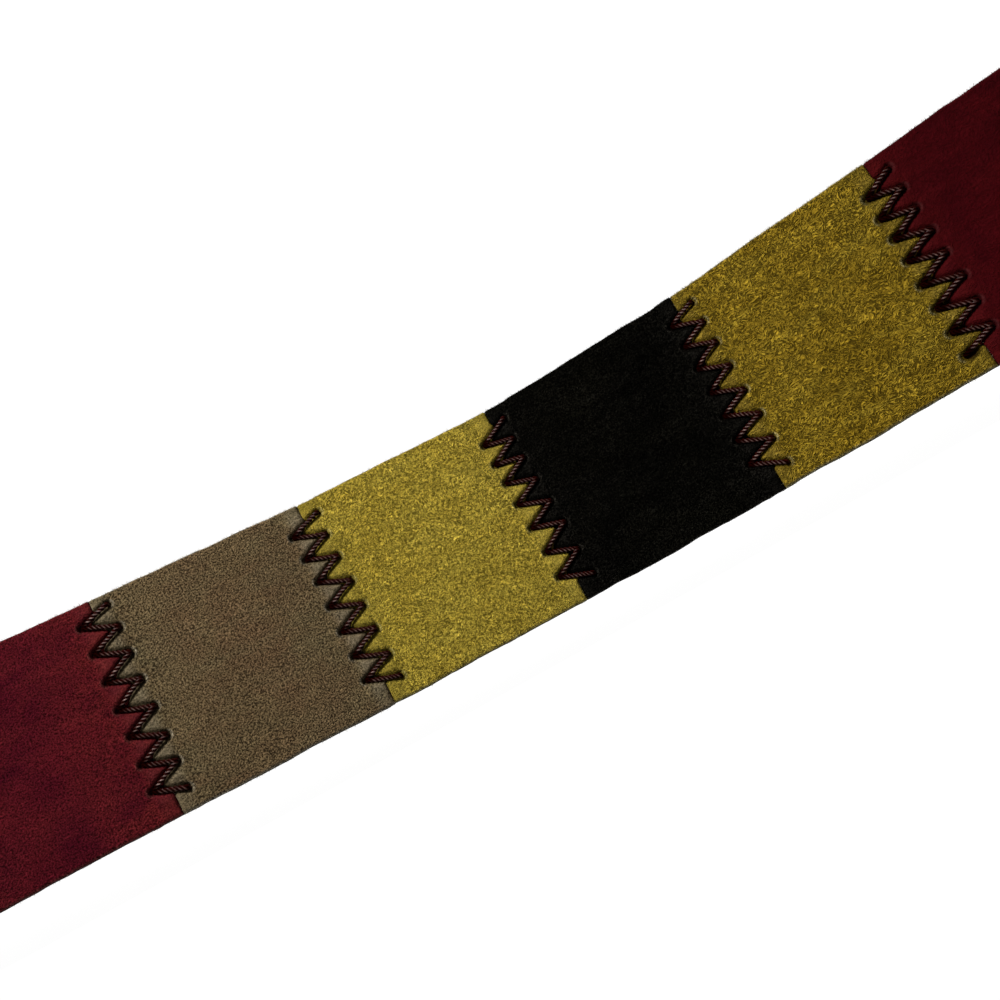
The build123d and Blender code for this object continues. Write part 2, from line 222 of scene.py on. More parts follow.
def bend_with_seam(ob, j):
    """The piece lies over seam j, between the patch before it and the patch after it; only its
    transform is baked into its mesh.
    """
    heading = (FRONT_HEAD if j == 0 else HEAD[j - 1]) + BEND[j] / 2
    BODIES[j + 1]
    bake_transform(ob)


# ---------------------------------------------------------------- needle holes
# Seams set out hole by hole: (distance from the seam line, height), after then before it.
SET_OUT = {
    4: ([(4.3, 2.6), (4.6, 8.3), (4.5, 14.6), (4.35, 20.9),
         (4.5, 27.5), (4.3, 34.2), (4.1, 40.2), (3.9, 46.3)],
        [(-2.8, 5.3), (-2.6, 11.8), (-2.55, 18.5), (-2.65, 25.1),
         (-2.6, 31.3), (-2.85, 37.8), (-3.1, 43.8)]),
    5: ([(4.1, 3.8), (3.6, 9.4), (3.75, 15.2), (3.9, 21.7),
         (3.85, 27.9), (3.95, 34.0), (4.0, 40.4), (4.2, 46.1)],
        [(-3.8, 6.9), (-3.5, 12.8), (-3.2, 18.8), (-3.3, 25.1),
         (-3.45, 31.4), (-3.45, 37.6), (-3.5, 43.6)]),
    6: ([(3.4, 3.8), (3.0, 9.3), (2.9, 14.5), (3.1, 20.5),
         (3.5, 26.7), (3.9, 32.6), (3.6, 39.6), (4.1, 46.2)],
        [(-4.3, 7.6), (-4.25, 13.0), (-4.1, 18.1), (-4.05, 23.9),
         (-3.85, 30.3), (-3.55, 36.9), (-3.75, 43.3)]),
    7: ([(4.3, 4.0), (4.4, 9.3), (4.4, 14.8), (4.3, 21.0),
         (4.25, 27.4), (4.4, 33.8), (4.0, 39.9), (4.0, 46.1)],
        [(-2.7, 6.4), (-2.5, 12.0), (-2.5, 17.9), (-2.75, 24.2),
         (-3.0, 30.3), (-3.4, 36.5), (-3.7, 42.5)]),
    8: ([(2.6, 4.1), (2.8, 9.3), (2.75, 14.5), (2.9, 20.1),
         (2.7, 25.6), (3.1, 31.5), (2.6, 37.4), (2.2, 43.2)],
        [(-4.2, 7.2), (-4.35, 12.4), (-4.25, 17.6), (-4.4, 23.0),
         (-4.75, 28.9), (-4.95, 34.6), (-5.1, 40.4), (-5.3, 46.0)]),
}
# where the two cut edges meet, from the seam's hinge line
SET_SHIFT = {0: 0.0, 4: 0.75, 5: 0.25, 6: -0.25, 7: 0.55, 8: -0.95, COUNT: 0.0}
SEAM_RNG = np.random.default_rng(20240611)
SHIFT = [SEAM_RNG.uniform(-0.45, 0.45) for _ in range(COUNT + 1)]
SHIFT = [SET_SHIFT.get(j, shift) for j, shift in enumerate(SHIFT)]


def hole_row(count, off, low_z):
    """A slightly uneven row of holes."""
    return [(off + SEAM_RNG.uniform(-0.2, 0.2),
             low_z(i) + SEAM_RNG.uniform(-0.2, 0.2)) for i in range(count)]


HOLES = []
for j in range(COUNT + 1):
    # both rows are always drawn, so that every seam keeps its place in the random sequence
    after = hole_row(8, BITE_AFTER + SHIFT[j], lambda i: MID + (i - 3.5) * HOLE_PITCH)
    before = hole_row(7, -BITE_BEFORE + SHIFT[j],
                      lambda i: MID + (i - 3.0) * HOLE_PITCH - 0.3)
    HOLES.append(SET_OUT.get(j, (after, before)))


# ---------------------------------------------------------------- noise and relief
def value_noise(seed, across, up, size):
    """Smooth value noise, -1 to 1, feature size in mm."""
    grid = np.random.default_rng(seed).uniform(-1, 1, (64, 64))
    x, y = across / size + 7.3, up / size + 11.9
    col, row = np.floor(x).astype(int), np.floor(y).astype(int)
    mix_x, mix_y = smooth(x - col), smooth(y - row)
    low = grid[col % 64, row % 64] * (1 - mix_x) + grid[(col + 1) % 64, row % 64] * mix_x
    high = (grid[col % 64, (row + 1) % 64] * (1 - mix_x)
            + grid[(col + 1) % 64, (row + 1) % 64] * mix_x)
    return low * (1 - mix_y) + high * mix_y


def segment_distance(x, z, start, end):
    run_x, run_z = end[0] - start[0], end[1] - start[1]
    share = ((x - start[0]) * run_x + (z - start[1]) * run_z) / (run_x * run_x + run_z * run_z)
    share = np.clip(share, 0, 1)
    return np.hypot(x - start[0] - share * run_x, z - start[1] - share * run_z)


def zigzag(j):
    """The holes of seam j in sewing order, from side to side."""
    after, before = HOLES[j]
    out = []
    for i in range(max(len(after), len(before))):
        out += [row[i] for row in (after, before) if i < len(row)]
    return out


def butt_line(j, z):
    """Where the two cut edges of seam j meet: each stitch draws the leather under it
    sideways, so the line swings with the stitches."""
    holes = np.array(zigzag(j))
    middle = (holes[:, 0].max() + holes[:, 0].min()) / 2
    off = np.zeros_like(z)
    for weight, lift in ((0.25, -0.35), (0.5, 0.0), (0.25, 0.35)):
        off += weight * np.interp(z + lift, holes[:, 1], holes[:, 0], left=middle, right=middle)
    sewn = smooth((z - holes[0, 1] + 0.4) / 2.2) * smooth((holes[-1, 1] - z + 0.4) / 2.2)
    return SHIFT[j] + (SWING if 0 < j < COUNT else 0.0) * (off - middle) * sewn


DARK_SEAM = 8                       # the seam with the darkest painted shade in its hollows and on its cord
POCKET_SIZE = {6: 1.25, 8: 1.5}     # hollows before these seams, in mm; elsewhere 0.92


def sewn_relief(j, off, z):
    """Height added to the leather round the stitches of seam j, with the masks of the painted
    highlights on the rims outside the holes and of the painted shade in the hollows beside the
    cord."""
    relief, rim, dark = np.zeros_like(off), np.zeros_like(off), np.zeros_like(off)
    near = np.abs(off) < 10.5
    if not near.any():
        return relief, rim, dark
    off, z = off[near], z[near]
    holes = zigzag(j)
    groove = np.full_like(off, 9.0)
    pressed = np.zeros_like(off)
    for start, end in zip(holes[:-1], holes[1:]):
        gap = segment_distance(off, z, start, end)
        groove = np.minimum(groove, gap)
        pressed += bell(gap / 0.56)
    # the groove under the cord
    height = -0.42 * np.minimum(pressed, 1.5)
    # lobes swelling between the stitches, within a broad dip along the seam
    sewn = smooth((z - holes[0][1] + 2.5) / 2.5) * smooth((holes[-1][1] - z + 2.5) / 2.5)
    height += (0.50 * smooth((groove - 0.45) / 1.2) * bell(((off - SHIFT[j]) / 4.4) ** 2)
               * (0.3 + 0.7 * sewn))
    height -= 0.25 * bell((off - SHIFT[j]) / 6.0)
    rim_glint = np.zeros_like(off)
    # painted shade along the groove under the cord
    hollow_shade = (0.34 if j == DARK_SEAM else 0.12) * bell(groove / 0.55)
    size = POCKET_SIZE.get(j, 0.92)
    for side, row in ((1, HOLES[j][0]), (-1, HOLES[j][1])):
        for hole_off, hole_z in row:
            # the hole itself and the dimple round it
            gap = np.hypot(off - hole_off, z - hole_z)
            height -= 0.75 * bell(gap / 0.72) + (0.30 if side > 0 else 0.20) * bell(gap / 1.9)
            if side < 0:
                # the pocket into which the cord is pulled
                pocket = np.hypot((off - hole_off - 1.0 * size) / (1.25 * size),
                                  (z - hole_z) / (0.85 * size))
                height -= 0.60 * bell(pocket)
                # painted shade inside the pocket
                depth = 0.97 if j in POCKET_SIZE else 0.86
                hollow_shade = np.maximum(hollow_shade, depth * np.exp(-pocket ** 4))
            # the raised lip on the side away from the seam
            out = side * (off - hole_off)
            height += 0.40 * bell(np.hypot((out - 1.05) / 0.45, (z - hole_z) / 0.9))
            # mask of the painted highlight on the rim beyond the hole, on the side away from the
            # seam
            ring = np.hypot(off - hole_off, z - hole_z - 0.12 * side)
            rim_glint = np.maximum(rim_glint, bell((ring - 0.98) / 0.26) * smooth((out + 0.1) / 0.9))
    relief[near] = np.maximum(height, -1.12)
    rim[near] = rim_glint
    dark[near] = hollow_shade
    return relief, rim, dark


# ---------------------------------------------------------------- mesh helpers
def finish_mesh(name, verts_mm, faces, material, attributes, sharp_deg):
    mesh = bpy.data.meshes.new(name)
    mesh.from_pydata([tuple(vert) for vert in np.asarray(verts_mm) * 0.001], [],
                     [tuple(face) for face in faces])
    mesh.update()
    for key, values in attributes.items():
        attribute = mesh.attributes.new(key, "FLOAT_VECTOR", "POINT")
        attribute.data.foreach_set("vector", np.asarray(values, np.float32).ravel())
    work = bmesh.new()
    work.from_mesh(mesh)
    bmesh.ops.recalc_face_normals(work, faces=work.faces[:])
    work.to_mesh(mesh)
    work.free()
    mesh.polygons.foreach_set("use_smooth", [True] * len(mesh.polygons))
    if sharp_deg:
        mesh.set_sharp_from_angle(angle=math.radians(sharp_deg))
    ob = bpy.data.objects.new(name, mesh)
    SCENE.collection.objects.link(ob)
    mesh.materials.append(material)
    return ob


def tube_faces(rows, sides):
    """Quads between rings of points, and the index grid they use."""
    index = np.arange(rows * sides).reshape(rows, sides)
    turned = np.roll(index, -1, axis=1)
    quads = np.stack([index[:-1], turned[:-1], turned[1:], index[1:]], -1)
    return quads.reshape(-1, 4).tolist(), index


def capped_tube_faces(rows, sides):
    faces, index = tube_faces(rows, sides)
    return faces + [index[0][::-1].tolist(), index[-1].tolist()]


def slab(name, panel, along, z, top, base, material, shape_edge, wear_and_light, rim, offset):
    """Closed slab: a fine outer sheet over the grid along, z, four walls and a plain
    inner side."""
    cols, rows = along.shape
    shaped_z = shape_edge(along, z)
    wear_and_light, rim = wear_and_light.reshape(-1, 3), rim.reshape(-1, 3)
    verts = [np.concatenate([panel.place(along, top), shaped_z[..., None]], -1).reshape(-1, 3)]
    strap = [np.stack([along + offset, shaped_z, top], -1).reshape(-1, 3)]
    wears, rims = [wear_and_light], [rim]
    index = np.arange(cols * rows).reshape(cols, rows)
    faces = np.stack([index[:-1, :-1], index[1:, :-1], index[1:, 1:], index[:-1, 1:]], -1)
    faces = faces.reshape(-1, 4).tolist()
    border = ([int(index[i, 0]) for i in range(cols)]
              + [int(index[cols - 1, i]) for i in range(1, rows)]
              + [int(index[i, rows - 1]) for i in range(cols - 2, -1, -1)]
              + [int(index[0, i]) for i in range(rows - 2, 0, -1)])
    ring_along, ring_z, ring_y = (grid.reshape(-1)[border] for grid in (along, shaped_z, top))
    rings, count = [border], cols * rows
    for share in (0.5, 1.0):
        y = ring_y + (base - ring_y) * share
        verts.append(np.column_stack([panel.place(ring_along, y), ring_z]))
        strap.append(np.column_stack([ring_along + offset, ring_z, y]))
        wears.append(wear_and_light[border])
        rims.append(rim[border])
        rings.append(list(range(count, count + len(border))))
        count += len(border)
    for upper, lower in zip(rings[:-1], rings[1:]):
        for i in range(len(border)):
            k = (i + 1) % len(border)
            faces.append([upper[i], lower[i], lower[k], upper[k]])
    # the inner side: strips from the low to the high edge, the end ones taking the ends in
    last = rings[-1]
    low, right = last[:cols], last[cols - 1:cols + rows - 1]
    high = last[cols + rows - 2:2 * cols + rows - 2][::-1]
    left = last[2 * cols + rows - 3:] + [last[0]]
    faces.append([low[0], low[1], high[1]] + left[:-1])
    for i in range(1, cols - 2):
        faces.append([low[i], low[i + 1], high[i + 1], high[i]])
    faces.append([low[cols - 2]] + right + [high[cols - 2]])
    attributes = {"strap": np.concatenate(strap), "wear_and_light": np.concatenate(wears),
                  "rim": np.concatenate(rims)}
    return finish_mesh(name, np.concatenate(verts), faces, material, attributes, 50)


def frames_along(path):
    """Two normals carried along a path without twist."""
    slope = np.gradient(path, axis=0)
    tangent = slope / np.linalg.norm(slope, axis=1)[:, None]
    normal = np.zeros_like(tangent)
    steep = abs(tangent[0][2]) >= 0.8
    carried = np.array([1.0, 0.3, 0.2]) if steep else np.array([0.3, 0.2, 1.0])
    for i in range(len(tangent)):
        across = carried - tangent[i] * (carried @ tangent[i])
        carried = normal[i] = across / np.linalg.norm(across)
    return normal, np.cross(tangent, normal)


def resample(path, step):
    """Evenly spaced points on a path, and their distances from its start."""
    path = np.asarray(path, float)
    pieces = np.linalg.norm(np.diff(path, axis=0), axis=1)
    known = np.concatenate([[0], np.cumsum(pieces)])
    count = max(4, int(round(known[-1] / step)) + 1)
    run = np.linspace(0, known[-1], count)
    return np.column_stack([np.interp(run, known, column) for column in path.T]), run


def soften(path, rounds):
    """Corner cutting; keeps the two end points."""
    path = np.asarray(path, float)
    for _ in range(rounds):
        start, end = path[:-1], path[1:]
        cut = np.empty((2 * len(start), path.shape[1]))
        cut[0::2] = 0.75 * start + 0.25 * end
        cut[1::2] = 0.25 * start + 0.75 * end
        path = np.vstack([path[:1], cut[1:-1], path[-1:]])
    return path


def rope(path, radius, lay, sides, step, phase, face_sign=1):
    """Three-strand cord as one closed surface along a path in strap coordinates.
    Returns vertices, faces, the (length, strand angle, depth) attribute, and how far
    each point faces the side from which the painted glint on the cord is lit."""
    points, run = resample(path, step)
    normal, binormal = frames_along(points)
    around = np.arange(sides) / sides * 2 * math.pi
    turn = 2 * math.pi * run[:, None] / lay + phase
    local = (around[None, :] - turn + math.pi / 3) % (2 * math.pi / 3) - math.pi / 3
    # three circles of strand_r set strand_off from the middle
    strand_r, strand_off = 0.466 * radius, 0.534 * radius
    reach = strand_off * np.cos(local) + np.sqrt(
        np.maximum(strand_r ** 2 - (strand_off * np.sin(local)) ** 2, 0.0))
    ends = np.minimum(run, run[-1] - run)[:, None]
    reach = reach * (0.55 + 0.45 * smooth(ends / 0.35))
    out = (normal[:, None, :] * np.cos(around)[None, :, None]
           + binormal[:, None, :] * np.sin(around)[None, :, None])
    verts = (points[:, None, :] + reach[..., None] * out).reshape(-1, 3)
    strap = np.stack([np.broadcast_to(run[:, None], reach.shape), around[None, :] - turn,
                      reach / radius], -1).reshape(-1, 3)
    # the side from which the painted glint on the strands is lit
    glint_way = np.array((-0.34, 0.88 * face_sign, 0.33))
    facing = (out @ (glint_way / np.linalg.norm(glint_way))).reshape(-1)
    return verts, capped_tube_faces(len(points), sides), strap, facing


def gather(parts):
    """Joins (vertices, faces, attribute) parts into one."""
    verts, faces, attribute, base = [], [], [], 0
    for part_verts, part_faces, part_attribute, *_ in parts:
        verts.append(part_verts)
        attribute.append(part_attribute)
        faces += [[i + base for i in face] for face in part_faces]
        base += len(part_verts)
    return np.concatenate(verts), faces, np.concatenate(attribute)


# ---------------------------------------------------------------- shader graphs
class Wire:
    """A node output. Arithmetic on it adds Math or Vector Math nodes."""

    def __init__(self, graph, socket):
        self.graph, self.socket = graph, socket
        self.is_vector = socket.type in ("VECTOR", "RGBA")

    def math(self, operation, other=0.0):
        kind = "ShaderNodeVectorMath" if self.is_vector else "ShaderNodeMath"
        return self.graph.node(kind, {0: self, 1: other}, operation=operation)

    def __add__(self, other):
        return self.math("ADD", other)

    def __radd__(self, number):
        return self.graph.node("ShaderNodeMath", {0: number, 1: self}, operation="ADD")

    def __sub__(self, other):
        return self.math("SUBTRACT", other)

    def __mul__(self, other):
        if self.is_vector and not isinstance(other, tuple):
            return self.graph.node("ShaderNodeVectorMath", {0: self, "Scale": other},
                                   operation="SCALE")
        return self.math("MULTIPLY", other)

    def __pow__(self, power):
        return self.math("POWER", power)

    def __abs__(self):
        return self.math("ABSOLUTE")

    def remap(self, source, target=(0.0, 1.0)):
        """Maps the source range onto the target range, clamped."""
        values = (self, *source, *target)
        return self.graph.node("ShaderNodeMapRange", dict(enumerate(values)))


class Graph:
    """The node tree of a material or world."""

    def __init__(self, owner, output="ShaderNodeOutputMaterial"):
        self.owner = owner
        owner.use_nodes = True
        self.tree = owner.node_tree
        self.tree.nodes.clear()
        self.output = self.tree.nodes.new(output)

    def feed(self, socket, value):
        if isinstance(value, Wire):
            self.tree.links.new(value.socket, socket)
            return
        if socket.type == "RGBA" and len(value) == 3:
            value = (*value, 1.0)
        socket.default_value = value

    def node(self, kind, inputs, output=0, **settings):
        node = self.tree.nodes.new(kind)
        for key, value in settings.items():
            setattr(node, key, value)
        for key, value in inputs.items():
            self.feed(node.inputs[key], value)
        return Wire(self, node.outputs[output])

    def attribute(self, name):
        return self.node("ShaderNodeAttribute", {}, "Vector", attribute_name=name)

    def separate(self, vector):
        first = self.node("ShaderNodeSeparateXYZ", {0: vector})
        return [Wire(self, socket) for socket in first.socket.node.outputs]

    def combine(self, x, y, z):
        return self.node("ShaderNodeCombineXYZ", {0: x, 1: y, 2: z})

    def noise(self, vector, scale, detail=2.0, rough=0.55, distort=0.0, output="Fac"):
        inputs = {"Vector": vector, "Scale": scale, "Detail": detail, "Roughness": rough,
                  "Distortion": distort}
        return self.node("ShaderNodeTexNoise", inputs, output)

    def mix(self, share, first, second):
        return self.node("ShaderNodeMix", {0: share, 6: first, 7: second}, 2, data_type="RGBA")

    def bump(self, height, distance_mm, strength):
        return self.node("ShaderNodeBump", {"Height": height, "Distance": distance_mm * 0.001,
                                            "Strength": strength})

    def camera_ray(self):
        return self.node("ShaderNodeLightPath", {}, "Is Camera Ray")

    def surface(self, shader):
        self.feed(self.output.inputs["Surface"], shader)
        return self.owner

    def principled(self, **inputs):
        inputs = {key.replace("_", " "): value for key, value in inputs.items()}
        return self.surface(self.node("ShaderNodeBsdfPrincipled", inputs))


def material_graph(name):
    return Graph(bpy.data.materials.new(name))


# ---------------------------------------------------------------- materials
# colour of the painted shade in the hollows: the cord's dark maroon
HOLLOW_SHADE_COLOUR = (0.0120, 0.0018, 0.0008)
RELIEF_SHADE = 0.32     # how much painted shade and painted light the relief puts on the suede


def suede(name, main, deep, light, worn_and_glint, edge, grain, contrast, coarse=0.12, speck=2.7,
          speck_gain=2.2, sheen=0.06, spec=0.03, reach=11.0, rim_highlight_gain=0.6, floor=0.25,
          curl=0.74, lobe_light=0.26):
    """main, deep, light: colours of the nap lying with, against and across the light.
    worn_and_glint: the scuffed nap by the seams, out to reach mm. edge: pale fibres of the cut
    edges, painted highlights on the hole rims and painted light on the lobes, the last two
    weighted by rim_highlight_gain and lobe_light. grain: nap clump size in mm. contrast,
    coarse, speck_gain: strength of clumps, curls and specks. curl, speck: frequency of
    curls (per grain) and specks (per mm). floor: darkest tone."""
    graph = material_graph(name)
    strap = graph.attribute("strap")
    relief, edge_gap, seam_gap = graph.separate(graph.attribute("wear_and_light"))
    rim, hollow_shade, _ = graph.separate(graph.attribute("rim"))
    drift = graph.noise(strap, scale=0.16, output="Color") - (0.5, 0.5, 0.5)
    # the nap lies a little along the strap, so its clumps are longer that way
    nap = (strap + drift * 5.0) * (0.72, 1.0, 0.6)
    fine = graph.noise(nap, scale=1.0 / grain, detail=3.0, rough=0.68, distort=0.55)
    curls = graph.noise(nap + (13.0, 7.0, 3.0), scale=curl / grain, detail=1.0, rough=0.5,
                        distort=1.5)
    curls = abs(curls - 0.5).remap((0.0, 0.13), (1.0, 0.0))
    hairs = graph.noise(nap * (0.5, 1.3, 1.0), scale=1.8 / grain, rough=0.6, distort=0.3)
    specks = graph.noise(strap + (3.0, 31.0, 5.0), scale=speck, detail=1.0, rough=0.6)
    height = fine + (curls - 0.4) * (coarse * 0.6) + (specks - 0.5) * 0.5
    tone = (fine - 0.5) * contrast + (curls - 0.4) * coarse + (specks - 0.5) * speck_gain
    # handled smooth close to the stitches
    tone = tone * seam_gap.remap((1.6, 5.0), (0.45, 1.0))
    tone = (1.0 + tone).math("MAXIMUM", floor)
    # large patches and streaks of nap lying other ways
    patchy = graph.noise(strap, scale=0.075, rough=0.5, distort=0.8)
    streak = graph.noise(strap * (0.25, 0.9, 0.5), scale=0.28, detail=3.0, distort=0.5)
    colour = graph.mix(patchy.remap((0.36, 0.64)), deep, main)
    colour = graph.mix(streak.remap((0.45, 0.72), (0.0, 0.55)), colour, light)
    near_seam = seam_gap.remap((2.0, reach), (1.0, 0.0))
    near_seam = near_seam * graph.noise(strap, scale=0.35).remap((0.35, 0.65), (0.35, 1.0))
    colour = graph.mix(near_seam * 0.6, colour, worn_and_glint)
    # the raised lobes between the stitches are painted paler: painted light where they bulge, and
    # their nap scuffed
    rub_and_light = (seam_gap.remap((2.6, 4.4), (1.0, 0.0))
              * relief.remap((-0.1, 0.35), (0.35, 1.0)))
    colour = graph.mix(rub_and_light * lobe_light, colour, edge)
    # painted shade in the grooves and dimples, painted light on the raised lips and lobes
    shade = relief.remap((-0.75, 0.35), (1.0 - RELIEF_SHADE, 1.0 + 0.45 * RELIEF_SHADE))
    # pale fibres on the cut edges, and a painted highlight on the rims of the holes
    fibres = edge_gap.remap((0.05, 0.5), (0.5, 0.0))
    colour = graph.mix(fibres * hairs.remap((0.35, 0.6), (0.25, 1.0)), colour, edge)
    # painted highlight on the hole rims away from the seam
    pale = rim * hairs.remap((0.35, 0.6), (0.55, 1.0))
    colour = graph.mix(pale * rim_highlight_gain, colour, edge)
    # painted shade in the hollows beside the cord
    shade = shade * hollow_shade.remap((0.0, 1.0), (1.0, 0.12))
    colour = colour * (tone * shade).math("MAXIMUM", 0.05)
    # the painted shade in the hollows takes the dark maroon of the cord lying in them
    colour = graph.mix(hollow_shade * 0.7, colour, HOLLOW_SHADE_COLOUR)
    return graph.principled(
        Base_Color=colour, Roughness=fine.remap((0.3, 0.7), (1.0, 0.82)),
        Specular_IOR_Level=spec, Sheen_Weight=sheen, Sheen_Roughness=0.4,
        Sheen_Tint=(*(min(1.0, 3.0 * channel) for channel in light), 1.0),
        Normal=graph.bump(height, distance_mm=0.50 * grain / 0.4, strength=0.9))


def leather(name, base, light, roughness, grain, coat=0.0, rub_and_light=0.55, spec=0.4):
    """Pebbled leather. grain: pebble size in mm. rub_and_light: paleness of the scuffed edges."""
    graph = material_graph(name)
    strap = graph.attribute("strap")
    relief, edge_gap, _ = graph.separate(graph.attribute("wear_and_light"))
    warped = strap + graph.noise(strap, scale=0.5, output="Color") * 0.9
    cells = graph.node("ShaderNodeTexVoronoi",
                       {"Vector": warped, "Scale": 1.0 / grain, "Randomness": 1.0},
                       "Distance", feature="DISTANCE_TO_EDGE")
    pebble = cells.remap((0.0, 0.16))
    fine = graph.noise(strap, scale=4.2, detail=3.0, rough=0.6)
    crease = graph.noise(strap, scale=0.16, detail=3.0, distort=1.2)
    crease = abs(crease - 0.5).remap((0.0, 0.035))
    patchy = graph.noise(strap, scale=0.09, detail=3.0)
    colour = graph.mix(patchy.remap((0.35, 0.7)), base, light)
    colour = colour * (pebble * (0.55 + fine * 0.9)).remap((0.0, 1.0), (0.62, 1.12))
    rub = edge_gap.remap((0.1, 1.3), (rub_and_light, 0.0)) * fine.remap((0.3, 0.6), (0.3, 1.0))
    colour = graph.mix(rub, colour, tuple(min(1.0, 2.1 * part + 0.012) for part in light))
    # painted shade in the stitch grooves, pressed lines and rivet dents, painted light on raised
    # parts
    colour = colour * relief.remap((-0.6, 0.25), (0.5, 1.1))
    height = pebble * 0.6 + (fine * 0.25 + crease * 0.35)
    return graph.principled(
        Base_Color=colour,
        Roughness=patchy.remap((0.3, 0.7), (roughness - 0.07, roughness + 0.08)),
        Specular_IOR_Level=spec, Coat_Weight=coat, Coat_Roughness=0.35,
        Normal=graph.bump(height, distance_mm=0.10, strength=0.7))


def cord_material(name, base, light, rub_and_light):
    graph = material_graph(name)
    strap = graph.attribute("strap")
    length, strand, depth = graph.separate(strap)
    leg_glint, facing, clear = graph.separate(graph.attribute("wear_and_light"))
    # fibres run along each strand: constant strand angle, long in length
    along_strand = graph.combine(length * 0.35, strand.math("SINE") * 1.6,
                                 strand.math("COSINE") * 1.6)
    fibre = graph.noise(along_strand, scale=3.2, detail=3.0, rough=0.6, distort=0.2)
    tint = graph.noise(strap, scale=0.5)
    groove = depth.remap((0.52, 0.95))
    crest = depth.remap((0.80, 0.995)) ** 1.6
    colour = graph.mix(tint.remap((0.35, 0.65)), base, light)
    # streaks along the strands, and painted shade in the grooves between them
    colour = colour * (fibre.remap((0.3, 0.7), (0.6, 1.4))
                       * groove.remap((0.0, 1.0), (0.12, 1.1)))
    # painted shade close to the hole before the seam
    colour = colour * clear.remap((0.0, 1.0), (0.35, 1.0))
    # painted glint on the strand crests that face the light, strongest on the legs that run
    # forward
    bead = facing.remap((0.66, 0.98)) ** 1.4
    worn_and_glint = crest * leg_glint * graph.noise(strap, scale=0.9).remap((0.36, 0.62), (0.35, 1.0))
    colour = graph.mix(worn_and_glint * bead, colour, rub_and_light)
    return graph.principled(
        Base_Color=colour, Roughness=fibre.remap((0.3, 0.7), (0.28, 0.42)),
        Specular_IOR_Level=crest * leg_glint * 0.35,
        Normal=graph.bump(fibre, distance_mm=0.06, strength=0.5))


def metal(name, base, dark, roughness):
    graph = material_graph(name)
    strap = graph.attribute("strap")
    scratch = graph.noise(strap * (1.0, 0.08, 1.0), scale=6.0, detail=4.0, rough=0.7)
    blotch = graph.noise(strap, scale=0.35, detail=3.0, rough=0.6)
    pit = graph.noise(strap, scale=2.2, detail=4.0, rough=0.7).remap((0.62, 0.72))
    colour = graph.mix(blotch.remap((0.42, 0.72), (0.0, 0.8)), base, dark)
    colour = graph.mix(pit * 0.5, colour, dark)
    rough = scratch.remap((0.3, 0.7), (roughness - 0.06, roughness + 0.1)) + pit * 0.2
    return graph.principled(Base_Color=colour, Metallic=1.0, Roughness=rough,
                            Normal=graph.bump(scratch, distance_mm=0.02, strength=0.35))


def webbing_material(name, base, light):
    graph = material_graph(name)
    length, across, side = graph.separate(graph.attribute("strap"))
    row = length * (1 / WEFT_PITCH)
    thread = across * 1.0       # warp threads 1 mm apart
    shift = thread.math("FLOOR") * 0.5
    weft = abs(((row + shift) * math.pi).math("SINE"))
    warp = abs((thread * math.pi).math("SINE"))
    height = weft ** 0.6 * warp ** 0.5
    fibre = graph.noise(graph.combine(length * 0.6, across * 5.0, side), scale=2.0,
                        detail=3.0, rough=0.6)
    tint = graph.noise(graph.attribute("strap"), scale=0.12)
    colour = graph.mix(tint.remap((0.35, 0.65)), base, light)
    colour = colour * (height.remap((0.0, 1.0), (0.35, 1.2))
                       * fibre.remap((0.3, 0.7), (0.75, 1.3)))
    return graph.principled(
        Base_Color=colour, Roughness=0.68, Specular_IOR_Level=0.35, Sheen_Weight=0.2,
        Normal=graph.bump(height + fibre * 0.25, distance_mm=0.22, strength=0.8))


def fibre_material(name, colour):
    graph = material_graph(name)
    tone = graph.noise(graph.attribute("strap"), scale=1.7).remap((0.3, 0.7), (0.6, 1.5))
    return graph.principled(
        Base_Color=graph.mix(0.0, colour, colour) * tone,
        Roughness=tone.remap((0.6, 1.5), (1.0, 0.8)), Specular_IOR_Level=0.1, Sheen_Weight=0.3)


